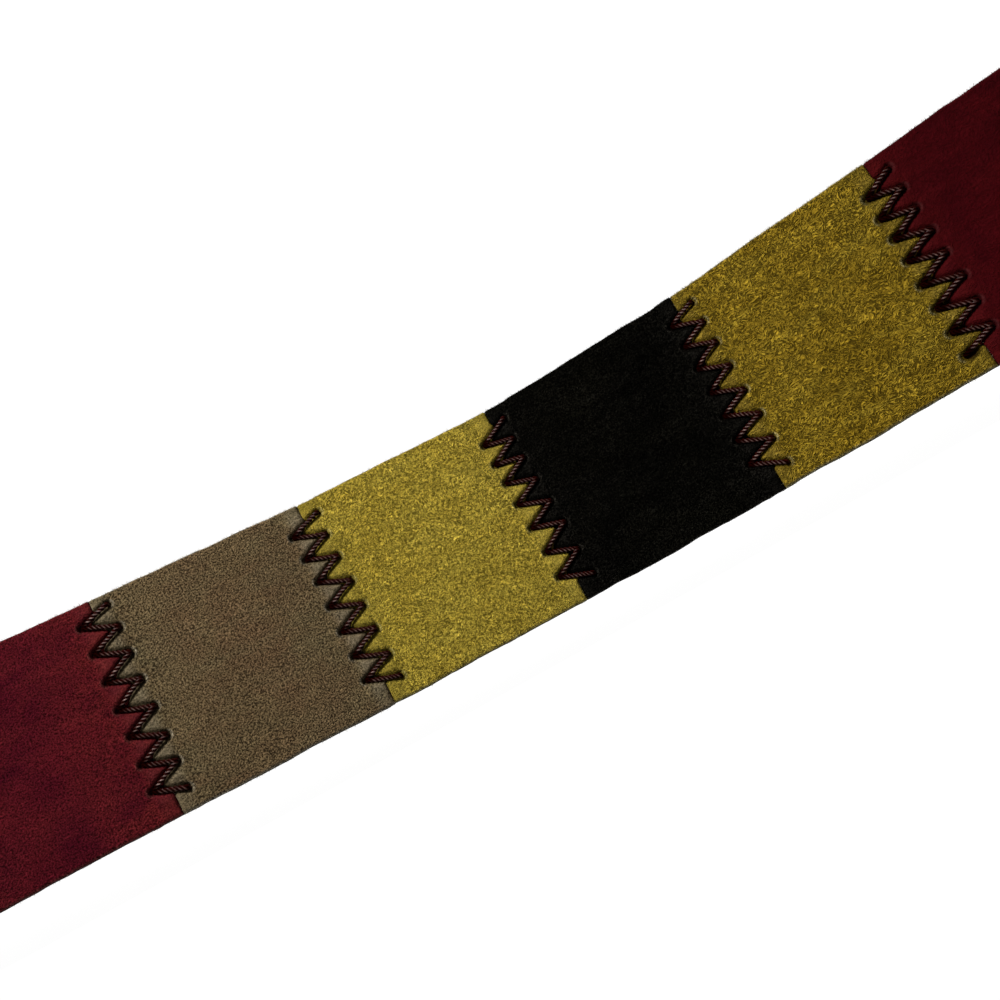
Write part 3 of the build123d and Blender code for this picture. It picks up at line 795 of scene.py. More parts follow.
SUEDE = {
    "red": suede(
        "suede_red", main=(0.073, 0.0052, 0.0090), deep=(0.050, 0.0028, 0.0076),
        light=(0.090, 0.0083, 0.0108), worn_and_glint=(0.126, 0.0145, 0.0128), edge=(0.17, 0.060, 0.052),
        grain=0.42, contrast=2.0, speck_gain=4.0, reach=20.0, rim_highlight_gain=0.5, lobe_light=0.10),
    # a darker copy of the red suede: partly its own dye, partly painted shade for the weaker light
    # on its patch
    "crimson": suede(
        "suede_crimson", main=(0.044, 0.0016, 0.0030), deep=(0.034, 0.0011, 0.0026),
        light=(0.057, 0.0024, 0.0036), worn_and_glint=(0.082, 0.0050, 0.0052), edge=(0.11, 0.034, 0.034),
        grain=0.5, contrast=0.6, speck=2.0, speck_gain=0.8, reach=9.0, rim_highlight_gain=0.40,
        lobe_light=0.03),
    "taupe": suede(
        "suede_taupe", main=(0.114, 0.078, 0.0385), deep=(0.107, 0.067, 0.034),
        light=(0.118, 0.090, 0.046), worn_and_glint=(0.114, 0.092, 0.046), edge=(0.26, 0.23, 0.17),
        grain=0.42, contrast=2.6, speck_gain=5.8, reach=16.0, rim_highlight_gain=0.8),
    "mustard": suede(
        "suede_mustard", main=(0.4280, 0.3150, 0.0403), deep=(0.4040, 0.2900, 0.0345),
        light=(0.4440, 0.3400, 0.0500), worn_and_glint=(0.4094, 0.3094, 0.0448), edge=(0.50, 0.45, 0.19),
        grain=0.47, contrast=2.4, coarse=1.6, speck=2.15, speck_gain=3.4, floor=0.32,
        curl=0.92, lobe_light=0.05),
    # darker than the mustard partly by its own dye, partly as painted shade for the weaker light
    # on its patch
    "ochre": suede(
        "suede_ochre", main=(0.2549, 0.1642, 0.0133), deep=(0.2074, 0.1307, 0.0093),
        light=(0.2959, 0.2074, 0.0218), worn_and_glint=(0.2592, 0.1771, 0.0167), edge=(0.44, 0.41, 0.23),
        grain=0.58, contrast=2.4, coarse=2.2, speck=2.0, speck_gain=1.9, floor=0.34,
        lobe_light=0.05),
    "black": suede(
        "suede_black", main=(0.0034, 0.0032, 0.0023), deep=(0.0022, 0.0021, 0.0017),
        light=(0.0054, 0.0051, 0.0040), worn_and_glint=(0.0058, 0.0053, 0.0047),
        edge=(0.030, 0.027, 0.022), grain=0.46, contrast=7.0, coarse=1.2, speck_gain=10.0,
        sheen=0.0, spec=0.0, rim_highlight_gain=0.8, lobe_light=0.10),
}
FIBRE_COLOURS = {
    "red": (0.16, 0.035, 0.03),
    "crimson": (0.10, 0.015, 0.015),
    "taupe": (0.34, 0.30, 0.22),
    "mustard": (0.36, 0.31, 0.12),
    "ochre": (0.36, 0.33, 0.18),
    "black": (0.016, 0.011, 0.008),
}
FIBRES = {key: fibre_material("fibres_" + key, colour)
          for key, colour in FIBRE_COLOURS.items()}
LINING = leather("lining_leather", base=(0.0115, 0.0100, 0.0094),
                 light=(0.0210, 0.0180, 0.0165), roughness=0.62, grain=0.8, rub_and_light=0.12,
                 spec=0.26)
TAB_LEATHER = leather("tab_leather", base=(0.016, 0.0085, 0.006), light=(0.034, 0.017, 0.011),
                      roughness=0.46, grain=1.0, coat=0.12)
# the last colour is that of the painted glint on the strand crests
CORD = cord_material("seam_cord", base=(0.0165, 0.0013, 0.0008),
                     light=(0.0270, 0.0026, 0.0015), rub_and_light=(0.44, 0.285, 0.25))
NICKEL = metal("nickel_wire", base=(0.62, 0.60, 0.57), dark=(0.40, 0.38, 0.35), roughness=0.27)
RIVET = metal("rivet_metal", base=(0.40, 0.28, 0.14), dark=(0.12, 0.075, 0.035),
              roughness=0.36)
WEBBING = webbing_material("webbing", base=(0.012, 0.011, 0.011), light=(0.019, 0.018, 0.018))


# ---------------------------------------------------------------- suede patches and linings
HALVES = ((-1, "front"), (1, "rear"))
CRIMSON_PATCH = 8       # this patch gets the crimson suede, whatever its node's colour: a darker copy of the red, partly its own dye, partly painted shade for the weaker light on it


def shade_of(k):
    return "crimson" if k == CRIMSON_PATCH else COLOURS[k]


def half_length(k, side):
    """From the middle of patch k to its cut edge."""
    if side < 0:
        return PANELS[k].len_front - SHIFT[k]
    return PANELS[k].len_rear + SHIFT[k + 1]


def seam_of(k, side):
    return k if side < 0 else k + 1


def rounding(gap, radius):
    """Drop of a rounded edge at a distance from that edge."""
    inner = radius - np.minimum(gap, radius)
    drop = radius - np.sqrt(np.maximum(radius * radius - inner ** 2, 0))
    return np.where(gap < radius, drop, 0.0)


def butt_grid(length, fine, coarse):
    """Distances from the butt edge: dense on its rounding, fine over the stitches."""
    near = [0.0, 0.08, 0.18, 0.32, 0.5, 0.75] + list(np.arange(1.0, 9.3, fine))
    count = max(3, int((length - near[-1]) / coarse) + 1)
    return np.array(near + list(np.linspace(near[-1], length, count)[1:]))


def edge_grid(step):
    near = [0.0, 0.07, 0.16, 0.30, 0.48, 0.72]
    middle = np.linspace(0.72, WIDTH - 0.72, int((WIDTH - 1.44) / step) + 1)[1:-1]
    return np.array(near + list(middle) + [WIDTH - gap for gap in near[::-1]])


def uneven_edges(k):
    """Slightly uneven hand-cut long edges; the lower one never dips below the table."""
    def shape(along, z):
        def ripple(seed, size):
            return value_noise(seed + k, along, along * 0, size)
        low = 0.17 + 0.13 * ripple(300, 7.0) + 0.06 * ripple(330, 1.9)
        high = 0.20 * ripple(360, 8.0) + 0.07 * ripple(390, 1.7)
        return z + low * smooth((4 - z) / 4) + high * smooth((z - (WIDTH - 4)) / 4)
    return shape


def lining_edges(k):
    """The suede's edges, set in a little at the bottom and out at the top."""
    suede_shape = uneven_edges(k)

    def shape(along, z):
        return (suede_shape(along, z) + 0.20 * smooth((z - (WIDTH - 3)) / 3)
                + 0.12 * smooth((3 - z) / 3))
    return shape


def half_patch(k, side, half, is_face):
    """One half of patch k's suede, or of its lining."""
    panel, j = PANELS[k], seam_of(k, side)
    length = half_length(k, side) - (BUTT_GAP if is_face else 0.0)
    if is_face:
        inset, heights = butt_grid(length, FINE, 0.62), edge_grid(FINE + 0.02)
    else:
        inset, heights = butt_grid(length, 0.6, 1.3), edge_grid(0.62)
    along = side * (length - inset)
    if side > 0:
        along, inset = along[::-1], inset[::-1]
    along, z = np.meshgrid(along, heights, indexing="ij")
    inset = np.broadcast_to(inset[:, None], along.shape)
    if is_face:
        along = along + (butt_line(j, z) - SHIFT[j]) * smooth(1 - inset / 7.0)
    off_rear, off_front = along - panel.len_rear, along + panel.len_front
    edge_gap = np.minimum(z, WIDTH - z)
    relief_rear, rim_rear, dark_rear = sewn_relief(k + 1, off_rear, z)
    relief_front, rim_front, dark_front = sewn_relief(k, off_front, z)
    relief = relief_rear + relief_front
    if is_face:
        for seed, gain, size in ((10, 0.10, 9.0), (40, 0.05, 3.4), (70, 0.035, 1.1)):
            relief = relief + gain * value_noise(seed + k, along, z, size)
        top = SUEDE_T + relief - rounding(inset, 0.85) - rounding(edge_gap, 0.55)
        top = np.maximum(top, 0.14)
        base, material, name = 0.02, SUEDE[shade_of(k)], "suede_%02d_%s"
        shape, slot, node = uneven_edges(k), COLOURS[k] + "_suede", PATCH_NODES[k]
    else:
        relief = 0.55 * relief + 0.05 * value_noise(110 + k, along, z, 7.0)
        top = (LINING_T + np.minimum(relief, 0.12) - rounding(inset, 0.4)
               - rounding(edge_gap, 0.35))
        top = -np.maximum(top, 0.2)
        base, material, name = -0.02, LINING, "liner_%02d_%s"
        shape, slot, node = lining_edges(k), "lining_leather", "lining_%02d" % (k + 1)
    seam_gap = np.minimum(np.abs(off_rear - SHIFT[k + 1]), np.abs(off_front - SHIFT[k]))
    wear_and_light = np.stack([relief, edge_gap, seam_gap], -1)
    # masks of the painted rim highlights and of the painted shade in the hollows
    rim = np.stack([np.maximum(rim_rear, rim_front), np.maximum(dark_rear, dark_front),
                    np.zeros_like(along)], -1)
    ob = slab(name % (k + 1, half), panel, along, z, top, base, material, shape, wear_and_light, rim,
              60.0 * k)
    bend_with_seam(ob, j)
    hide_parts(node)


for k in range(COUNT):
    for side, half in HALVES:
        half_patch(k, side, half, is_face=True)
        half_patch(k, side, half, is_face=False)


# ---------------------------------------------------------------- loose fibres on cut edges
TUFT_FACES = [(0, 2, 1), (0, 1, 4, 3), (1, 2, 5, 4), (2, 0, 3, 5), (3, 4, 6), (4, 5, 6),
              (5, 3, 6)]


def tufts(name, panel, root, way, length, radius, material, offset):
    """Short tapered bent hairs, each a closed sliver; root and way hold one row per hair
    in strap coordinates (along, y, z)."""
    count = len(root)
    rng = np.random.default_rng(900 + int(abs(offset)) + count)
    way = way / np.linalg.norm(way, axis=1)[:, None]
    side = np.cross(way, rng.normal(size=(count, 3)))
    side /= np.linalg.norm(side, axis=1)[:, None]
    other = np.cross(way, side)
    middle = root + way * (length * 0.5)[:, None]
    tip = root + way * length[:, None] + side * (length * rng.uniform(-0.25, 0.25, count))[:, None]
    rows = []
    for centre, thick in ((root, radius), (middle, radius * 0.7)):
        for angle in (0, 2 * math.pi / 3, 4 * math.pi / 3):
            out = side * math.cos(angle) + other * math.sin(angle)
            rows.append(centre + out * thick[:, None])
    rows.append(tip)
    along, y, z = np.stack(rows, 1).reshape(-1, 3).T
    verts = np.column_stack([panel.place(along, y), z])
    faces = [[hair * 7 + i for i in face] for hair in range(count) for face in TUFT_FACES]
    strap = np.column_stack([along + offset, z, y])
    return finish_mesh(name, verts, faces, material, {"strap": strap}, 0)


def edge_fibres(k, side, half):
    length = half_length(k, side) - 0.2
    rng = np.random.default_rng(500 + 2 * k + (side > 0))
    per_edge = 420
    both = 2 * per_edge
    # the first half of the hairs stands on the lower edge, the rest on the upper
    along = rng.uniform(0, length, both) * side
    low = np.arange(both) < per_edge
    z = uneven_edges(k)(along, np.where(low, 0.0, WIDTH)) + np.where(low, 0.06, -0.06)
    y = rng.uniform(0.15, 0.95, both)
    hair = np.clip(rng.exponential(0.26, both) + 0.12, 0.12, 1.0)
    if COLOURS[k] in ("ochre", "taupe"):
        hair *= 1.25
    hair = np.where(low, np.minimum(hair, 0.85), hair)
    way = np.column_stack([rng.normal(0, 0.7, both), rng.normal(0.15, 0.55, both),
                           np.where(low, -1.0, 1.0) * rng.uniform(0.5, 1.1, both)])
    # a few hairs lean over the butt edge as well
    butt = 90
    butt_z = rng.uniform(0.5, WIDTH - 0.5, butt)
    butt_y = rng.uniform(0.5, 1.0, butt)
    butt_hair = np.clip(rng.exponential(0.18, butt) + 0.1, 0.1, 0.6)
    butt_way = np.column_stack([np.full(butt, side * 0.6), np.full(butt, 0.8),
                                rng.normal(0, 0.5, butt)])
    butt_root = np.column_stack([np.full(butt, side * (length + 0.05)), butt_y, butt_z])
    root = np.concatenate([np.column_stack([along, y, z]), butt_root])
    ob = tufts("edge_fibres_%02d_%s" % (k + 1, half), PANELS[k], root,
               np.concatenate([way, butt_way]), np.concatenate([hair, butt_hair]),
               rng.uniform(0.022, 0.04, len(root)), FIBRES[shade_of(k)], 60.0 * k)
    bend_with_seam(ob, seam_of(k, side))
    COLOURS[k] + "_suede"


for k in range(COUNT):
    for side, half in HALVES:
        edge_fibres(k, side, half)


# ---------------------------------------------------------------- seam cords
CORD_LIFT = 0.34
CORD_LAY = 2.9


def stitch(start, end, base, sign, rng, lift):
    """Centre line of one stitch between two holes. On the side before the seam the
    cord is pulled deeper into the leather."""
    way = np.array([end[0] - start[0], end[1] - start[1]])
    run = np.hypot(*way)
    way = way / run
    bow = rng.uniform(-0.16, 0.16)
    # (distance from the hole, height over the leather)
    shallow = ((0.10, -1.25), (0.16, -0.55), (0.42, 0.15), (1.0, lift * 0.82), (2.0, lift))
    deep = ((0.15, -1.25), (0.35, -0.95), (0.85, -0.50), (1.6, lift * 0.10),
            (2.8, lift * 0.92))
    first, last = (shallow, deep) if start[0] > end[0] else (deep, shallow)
    stations = list(first) + [(run / 2, lift + rng.uniform(-0.03, 0.05))]
    stations += [(run - gap, height) for gap, height in last[::-1]]
    control = []
    for gap, height in stations:
        sag = bow * math.sin(math.pi * gap / run)
        control.append((start[0] + way[0] * gap - way[1] * sag, base + sign * height,
                        start[1] + way[1] * gap + way[0] * sag))
    return soften(control, 3)


def seam_cord(j):
    rng = np.random.default_rng(700 + j)
    holes = zigzag(j)
    parts, wear_and_light = [], []
    for base, sign, sides, step in ((SUEDE_T, 1, 24, 0.22), (-LINING_T, -1, 18, 0.30)):
        for start, end in zip(holes[:-1], holes[1:]):
            forward = start[0] > end[0]
            path = stitch(start, end, base, sign, rng, CORD_LIFT * (1 if forward else 0.45))
            part = rope(path, radius=CORD_R * rng.uniform(0.96, 1.05),
                        lay=CORD_LAY * rng.uniform(0.94, 1.06), sides=sides, step=step,
                        phase=rng.uniform(0, 6.28), face_sign=sign)
            parts.append(part)
            verts, facing = part[0], part[3]
            # painted shade close to the hole before the seam, and no painted glint there
            hole = start if start[0] < end[0] else end
            gap = np.hypot(verts[:, 0] - hole[0], verts[:, 2] - hole[1])
            clear = smooth((gap - (1.7 if j == DARK_SEAM else 0.9)) / 1.7)
            # painted glint (weaker on the legs that run back), facing towards the glint's light,
            # and how far out of the painted shade
            wear_and_light.append(np.column_stack([clear * (1.0 if forward else 0.45), facing, clear]))
    verts, faces, strap = gather(parts)
    placed = np.column_stack([seam_place(j, verts[:, 0], verts[:, 1]), verts[:, 2]])
    attributes = {"strap": strap + np.array([j * 17.0, 0, 0]), "wear_and_light": np.concatenate(wear_and_light)}
    ob = finish_mesh("cord_%02d" % (j + 1), placed, faces, CORD, attributes, 70)
    bend_with_seam(ob, j)
    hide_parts("seam_cord_%02d" % (j + 1))


for j in range(COUNT + 1):
    seam_cord(j)


# ---------------------------------------------------------------- outlines in the x-z plane
def inside(polygon, x, z):
    polygon = np.asarray(polygon)
    within = np.zeros(x.shape, bool)
    for (ax, az), (bx, bz) in zip(polygon, np.roll(polygon, -1, axis=0)):
        if az == bz:
            continue
        within ^= ((az > z) != (bz > z)) & (x < (bx - ax) * (z - az) / (bz - az) + ax)
    return within


def outline_distance(loops, x, z):
    gap = np.full(x.shape, 99.0)
    for loop in loops:
        loop = np.asarray(loop)
        for start, end in zip(loop, np.roll(loop, -1, axis=0)):
            gap = np.minimum(gap, segment_distance(x, z, start, end))
    return gap


def densify(polygon, step):
    """Points no further apart than about a step, round the closed polygon."""
    out = []
    for (ax, az), (bx, bz) in zip(polygon, list(polygon[1:]) + [polygon[0]]):
        count = max(1, int(round(math.hypot(bx - ax, bz - az) / step)))
        out += [(ax + (bx - ax) * i / count, az + (bz - az) * i / count) for i in range(count)]
    return out


def arc(centre_x, centre_z, radius, first, last, count):
    """Points on an arc between two angles in degrees."""
    angles = [math.radians(first + (last - first) * i / count) for i in range(count + 1)]
    return [(centre_x + radius * math.cos(angle), centre_z + radius * math.sin(angle))
            for angle in angles]


def mirrored(points):
    return [(x, -z) for x, z in points[::-1]]


def keyhole(centre_x, way):
    """Round hole with a slit running off it; way is +1 or -1 along x."""
    radius, slit, length = 3.0, 1.0, 9.5
    gap = math.degrees(math.asin(slit / 2 / radius))
    end = centre_x + way * (radius + length)
    first, last = (gap, 360 - gap) if way > 0 else (gap - 180, 180 - gap)
    return arc(centre_x, 0, radius, first, last, 36) + [
        (end, -way * slit / 2), (end + way * 0.4, 0), (end, way * slit / 2)]


# ---------------------------------------------------------------- leather tabs
def plate(name, outline, hole, low_y, high_y, place, edge_r, relief_at, offset):
    """Leather plate between two heights, with rounded edges all round."""
    step = PLATE_STEP
    outer, cutout = loops = [densify(outline, step), densify(hole, min(step, 0.5))]

    def on_leather(x, z):
        return inside(outer, x, z) & ~inside(cutout, x, z)

    low, high = np.min(outer, axis=0), np.max(outer, axis=0)
    x, z = np.meshgrid(np.arange(low[0], high[0], step),
                       np.arange(low[1], high[1], step * 0.98), indexing="ij")
    x = x + (np.arange(x.shape[1]) % 2)[None, :] * step / 2
    x, z = x.ravel(), z.ravel()
    keep = on_leather(x, z) & (outline_distance(loops, x, z) > max(0.85 * edge_r, 0.5 * step))
    points = [Vector(point) for point in zip(x[keep], z[keep])]
    # rings just inside each border carry the rounded edge
    for loop in loops:
        border = np.asarray(loop)
        way = np.roll(border, -1, axis=0) - np.roll(border, 1, axis=0)
        normal = np.column_stack([-way[:, 1], way[:, 0]])
        normal = normal / np.maximum(np.linalg.norm(way, axis=1), 1e-9)[:, None]
        probe = border + normal * 0.01
        inward = on_leather(probe[:, 0], probe[:, 1])
        normal = np.where(inward[:, None], normal, -normal)
        for share in (0.12, 0.35, 0.7):
            ring = border + normal * (edge_r * share)
            gap = outline_distance(loops, ring[:, 0], ring[:, 1])
            points += [Vector(point) for point in ring[gap > edge_r * share * 0.93]]
    edges = []
    for loop in loops:
        base = len(points)
        points += [Vector(point) for point in loop]
        edges += [(base + i, base + (i + 1) % len(loop)) for i in range(len(loop))]
    found = geometry.delaunay_2d_cdt(points, edges, [], 0, 1e-5)
    flat = np.array([(point.x, point.y) for point in found[0]])
    triangles = np.array([face for face in found[2] if len(face) == 3])
    centre = flat[triangles].mean(1)
    triangles = triangles[on_leather(centre[:, 0], centre[:, 1])]
    used = np.unique(triangles)
    renumber = -np.ones(len(flat), int)
    renumber[used] = np.arange(len(used))
    (x, z), triangles = flat[used].T, renumber[triangles]
    gap = outline_distance(loops, x, z)
    drop = rounding(gap, edge_r)
    relief = relief_at(x, z)
    relief = np.where(gap > 1e-6, relief, np.minimum(relief, 0.0) * 0.3)
    top = np.maximum(high_y - drop + relief, (low_y + high_y) / 2 + 0.05)
    count = len(x)
    faces = triangles.tolist() + (triangles[:, ::-1] + count).tolist()
    uses = {}
    for a, b, c in triangles.tolist():
        for edge in ((a, b), (b, c), (c, a)):
            key = (min(edge), max(edge))
            uses[key] = uses.get(key, 0) + 1
    faces += [[a, b, b + count, a + count] for (a, b), number in uses.items() if number == 1]
    x, y, z = np.tile(x, 2), np.concatenate([top, low_y + drop]), np.tile(z, 2)
    wear_and_light = np.column_stack([np.concatenate([relief, relief * 0]), np.tile(gap, 2),
                            np.full(2 * count, 30.0)])
    attributes = {"strap": np.column_stack([x + offset, z, y]), "wear_and_light": wear_and_light}
    return finish_mesh(name, place(x, y, z), faces, TAB_LEATHER, attributes, 60)


def pressed_line(outline, x, z):
    """A pressed line inside the border."""
    return 0.16 * bell((outline_distance([densify(outline, 1.0)], x, z) - 2.6) / 0.45)


def front_tab():
    nose_x, half_w = -61, MID - TAB_EDGE
    shoulder = [(-13, half_w), (-14.4, half_w - 0.12), (-15.6, half_w - 0.6), (-43, 14.5),
                (-44.5, 14.05), (-46, NOSE_R)]
    outline = ([(-0.01, -half_w), (-0.01, half_w)] + shoulder
               + arc(nose_x, 0, NOSE_R, 90, 270, 48) + mirrored(shoulder))

    def relief_at(x, z):
        relief = 0.8 * sewn_relief(0, np.minimum(x, -0.001), z + MID)[0]
        relief += 0.06 * value_noise(201, x, z, 8.0)
        return relief - pressed_line(outline, x, z) * smooth((-x - 7) / 2)

    ob = plate("front_tab_leather", outline, keyhole(nose_x, 1), -LINING_T, SUEDE_T,
               front_place, 0.55, relief_at, offset=900)
    bend_with_seam(ob, 0)
    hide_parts("front_end_tab")


def rear_tab():
    nose_x, half_w, corner = TAB_X + 72 - NOSE_R, 21.0, 2
    shoulder = [(TAB_X + 28.5, half_w), (TAB_X + 30, half_w - 0.06),
                (TAB_X + 31.4, half_w - 0.5), (TAB_X + 47, 14.5), (TAB_X + 48.5, 14.05),
                (TAB_X + 50, NOSE_R)]
    corner_x, corner_z = TAB_X + corner, half_w - corner
    outline = ([(nose_x, -NOSE_R)] + mirrored(shoulder) + [(corner_x, -half_w)]
               + arc(corner_x, -corner_z, corner, 270, 180, 8)[1:]
               + arc(corner_x, corner_z, corner, 180, 90, 8) + shoulder
               + arc(nose_x, 0, NOSE_R, 90, -90, 48)[:-1])

    def relief_at(x, z):
        relief = 0.06 * value_noise(203, x, z, 8.0) - pressed_line(outline, x, z)
        for rivet_z in RIVET_Z:
            gap = np.hypot(x - TAB_RIVET_X, z - rivet_z)
            relief -= 0.22 * bell((gap - 4.9) / 1.0) + 0.06 * bell(gap / 4.5)
        return relief

    ob = plate("rear_tab_leather", outline, keyhole(nose_x, -1), TAB_Y, TAB_Y + TAB_T,
               tail_place, 0.6, relief_at, offset=1100)
    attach(ob, "rear_tab")
    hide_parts("rear_end_tab")


front_tab()
rear_tab()


# ---------------------------------------------------------------- webbing
def ribbon(name, path, half_t, columns, place, material, edge_r, offset, ribs=0.0,
           relief_at=None):
    """Flat strip swept along a line in plan; path rows are (x, y, half width)."""
    points, run = resample(path, 0.45)
    way = np.gradient(points[:, :2], axis=0)
    way /= np.linalg.norm(way, axis=1)[:, None]
    normal = np.column_stack([-way[:, 1], way[:, 0]])
    near = np.array([0, 0.03, 0.09, 0.2, 0.36, 0.6]) * edge_r
    share = np.linspace(-1, 1, columns)
    half_w = points[:, 2]
    z = np.array([np.concatenate([-width + near, share * (width - edge_r),
                                  (width - near)[::-1]]) for width in half_w])
    gap = half_w[:, None] - np.abs(z)
    thick = half_t - rounding(gap, edge_r) * half_t / edge_r * 0.92
    if ribs:
        rib = ribs * (0.5 - 0.5 * np.abs(np.sin(math.pi * run / WEFT_PITCH)))[:, None]
        thick = thick - rib * smooth(gap / 1.2)
    out = normal[:, None, :] * thick[..., None]
    middle = points[:, None, :2]
    local = np.concatenate([middle + out, (middle - out)[:, ::-1]], axis=1)
    rows, cols = z.shape
    z = np.concatenate([z, z[:, ::-1]], axis=1)
    side = np.repeat([0.0, 1.0], cols)
    relief = np.zeros(z.shape)
    if relief_at:
        local, relief = relief_at(local, z, side == 0)
    ring = 2 * cols
    faces, index = tube_faces(rows, ring)
    for row in (index[0], index[-1]):
        for i in range(cols - 1):
            faces.append([int(row[i]), int(row[i + 1]),
                          int(row[ring - 2 - i]), int(row[ring - 1 - i])])
    flat = local.reshape(-1, 2)
    strap = np.stack([np.broadcast_to(run[:, None] + offset, z.shape), z,
                      np.broadcast_to(side * 3, z.shape)], -1)
    wear_and_light = np.stack([relief, np.concatenate([gap, gap[:, ::-1]], axis=1),
                     np.full(z.shape, 30.0)], -1)
    attributes = {"strap": strap.reshape(-1, 3), "wear_and_light": wear_and_light.reshape(-1, 3)}
    return finish_mesh(name, place(flat[:, 0], flat[:, 1], z.ravel()), faces, material,
                       attributes, 65)


def bar_tangent(point, radius, upper):
    """Where a line from the point touches a circle round the slider's bar, and its angle."""
    off_x, off_y = SLIDER_X - point[0], SLIDER_Y - point[1]
    far = math.hypot(off_x, off_y)
    turn = math.asin(radius / far)
    angle = math.atan2(off_y, off_x) + (turn if upper else -turn)
    run = math.sqrt(far * far - radius * radius)
    return (point[0] + run * math.cos(angle), point[1] + run * math.sin(angle)), angle


def filleted(points, radii):
    """Lines through the points with an arc of the given radius at each inner one."""
    pieces = []
    here = points[0]
    for corner, following, radius in zip(points[1:-1], points[2:], radii):
        first = math.atan2(corner[1] - here[1], corner[0] - here[0])
        second = math.atan2(following[1] - corner[1], following[0] - corner[0])
        turn = (second - first + math.pi) % (2 * math.pi) - math.pi
        cut = radius * math.tan(abs(turn) / 2)
        begin = (corner[0] - cut * math.cos(first), corner[1] - cut * math.sin(first))
        side = 1 if turn > 0 else -1
        centre = (begin[0] - side * radius * math.sin(first),
                  begin[1] + side * radius * math.cos(first))
        pieces += [("line", here, begin), ("arc", centre, radius, first, turn)]
        here = (corner[0] + cut * math.cos(second), corner[1] + cut * math.sin(second))
    return pieces + [("line", here, points[-1])]


def webbing_path(pieces):
    """Rows for ribbon along lines (start, end) and arcs (centre, radius, heading, turn)."""
    out = []
    for kind, *values in pieces:
        if kind == "line":
            (ax, ay), (bx, by) = values
            count = max(1, int(math.hypot(bx - ax, by - ay) / 0.4))
            out += [(ax + (bx - ax) * i / count, ay + (by - ay) * i / count)
                    for i in range(count)]
            last = (bx, by)
        else:
            (x, y), radius, heading, turn = values
            side = 1 if turn > 0 else -1
            count = max(6, int(abs(turn) * radius / 0.3))
            angles = [heading + turn * i / count - side * math.pi / 2 for i in range(count)]
            angles.append(heading + turn - side * math.pi / 2)
            *points, last = [(x + radius * math.cos(angle), y + radius * math.sin(angle))
                             for angle in angles]
            out += points
    return np.array([(x, y, WEB_HALF_W) for x, y in out + [last]])


def webbing_strip(name, pieces, offset, start_x, end_x):
    ob = ribbon(name, webbing_path(pieces), WEB_T / 2 - 0.01, 40, tail_place, WEBBING, 0.5,
                offset, ribs=0.12)
    tail_point(start_x)
    tail_point(end_x)
    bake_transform(ob)
    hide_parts("webbing_tail")


# The webbing comes from the rear tab over the slider's bar, round the ring, back under
# itself, and ends folded round the bar.
PLY = WEB_T + GAP                       # one layer of webbing with its clearance
FOLD_IN = SLIDER_BAR_R + GAP + WEB_T / 2
FOLD_OUT = FOLD_IN + WEB_T + GAP
END_Y = WEB_Y - WEB_T - GAP
BACK_Y = END_Y - WEB_T - 0.02
SPLIT_X = SLIDER_X + 13.6               # where the two webbing meshes meet
TIGHT = 1.5                             # smallest bend radius


def webbing():
    bar = (SLIDER_X, SLIDER_Y)
    end_corner = (SLIDER_X - 7.0, END_Y)
    end_top, end_angle = bar_tangent(end_corner, FOLD_IN, True)
    back_corner = (SLIDER_X - 7.0, BACK_Y)
    back_top, back_angle = bar_tangent(back_corner, FOLD_IN, False)
    rise_x = 7.0 + PLY * math.tan(end_angle / 2)
    rise_top, rise_angle = bar_tangent((SLIDER_X - rise_x, WEB_Y), FOLD_OUT, True)
    fall_top = (2 * SLIDER_X - rise_top[0], rise_top[1])
    pieces = filleted([(SPLIT_X, WEB_Y), (SLIDER_X + rise_x, WEB_Y), fall_top], [TIGHT])
    pieces.append(("arc", bar, FOLD_OUT, math.pi - rise_angle, 2 * rise_angle))
    pieces += filleted([rise_top, (SLIDER_X - rise_x, WEB_Y), (RING_LENGTH, WEB_Y)], [TIGHT])
    pieces.append(("arc", (RING_LENGTH, 0), WEB_Y, math.pi, math.pi))
    pieces += filleted([(RING_LENGTH, -WEB_Y), (RING_LENGTH + 8, -WEB_Y),
                        (SLIDER_X - 30, BACK_Y), back_corner, back_top],
                       [10, 10, TIGHT + 2 * PLY])
    pieces.append(("arc", bar, FOLD_IN, back_angle, math.pi + end_angle - back_angle))
    pieces += filleted([end_top, end_corner, (SLIDER_X - 24, END_Y)], [TIGHT + WEB_T + GAP])
    webbing_strip("webbing_run", pieces, 0.0, 22, 122)
    webbing_strip("webbing_end", [("line", (SPLIT_X, WEB_Y), (WEB_END_X, WEB_Y))],
                  -(WEB_END_X - SPLIT_X), SLIDER_X + 14, WEB_END_X)


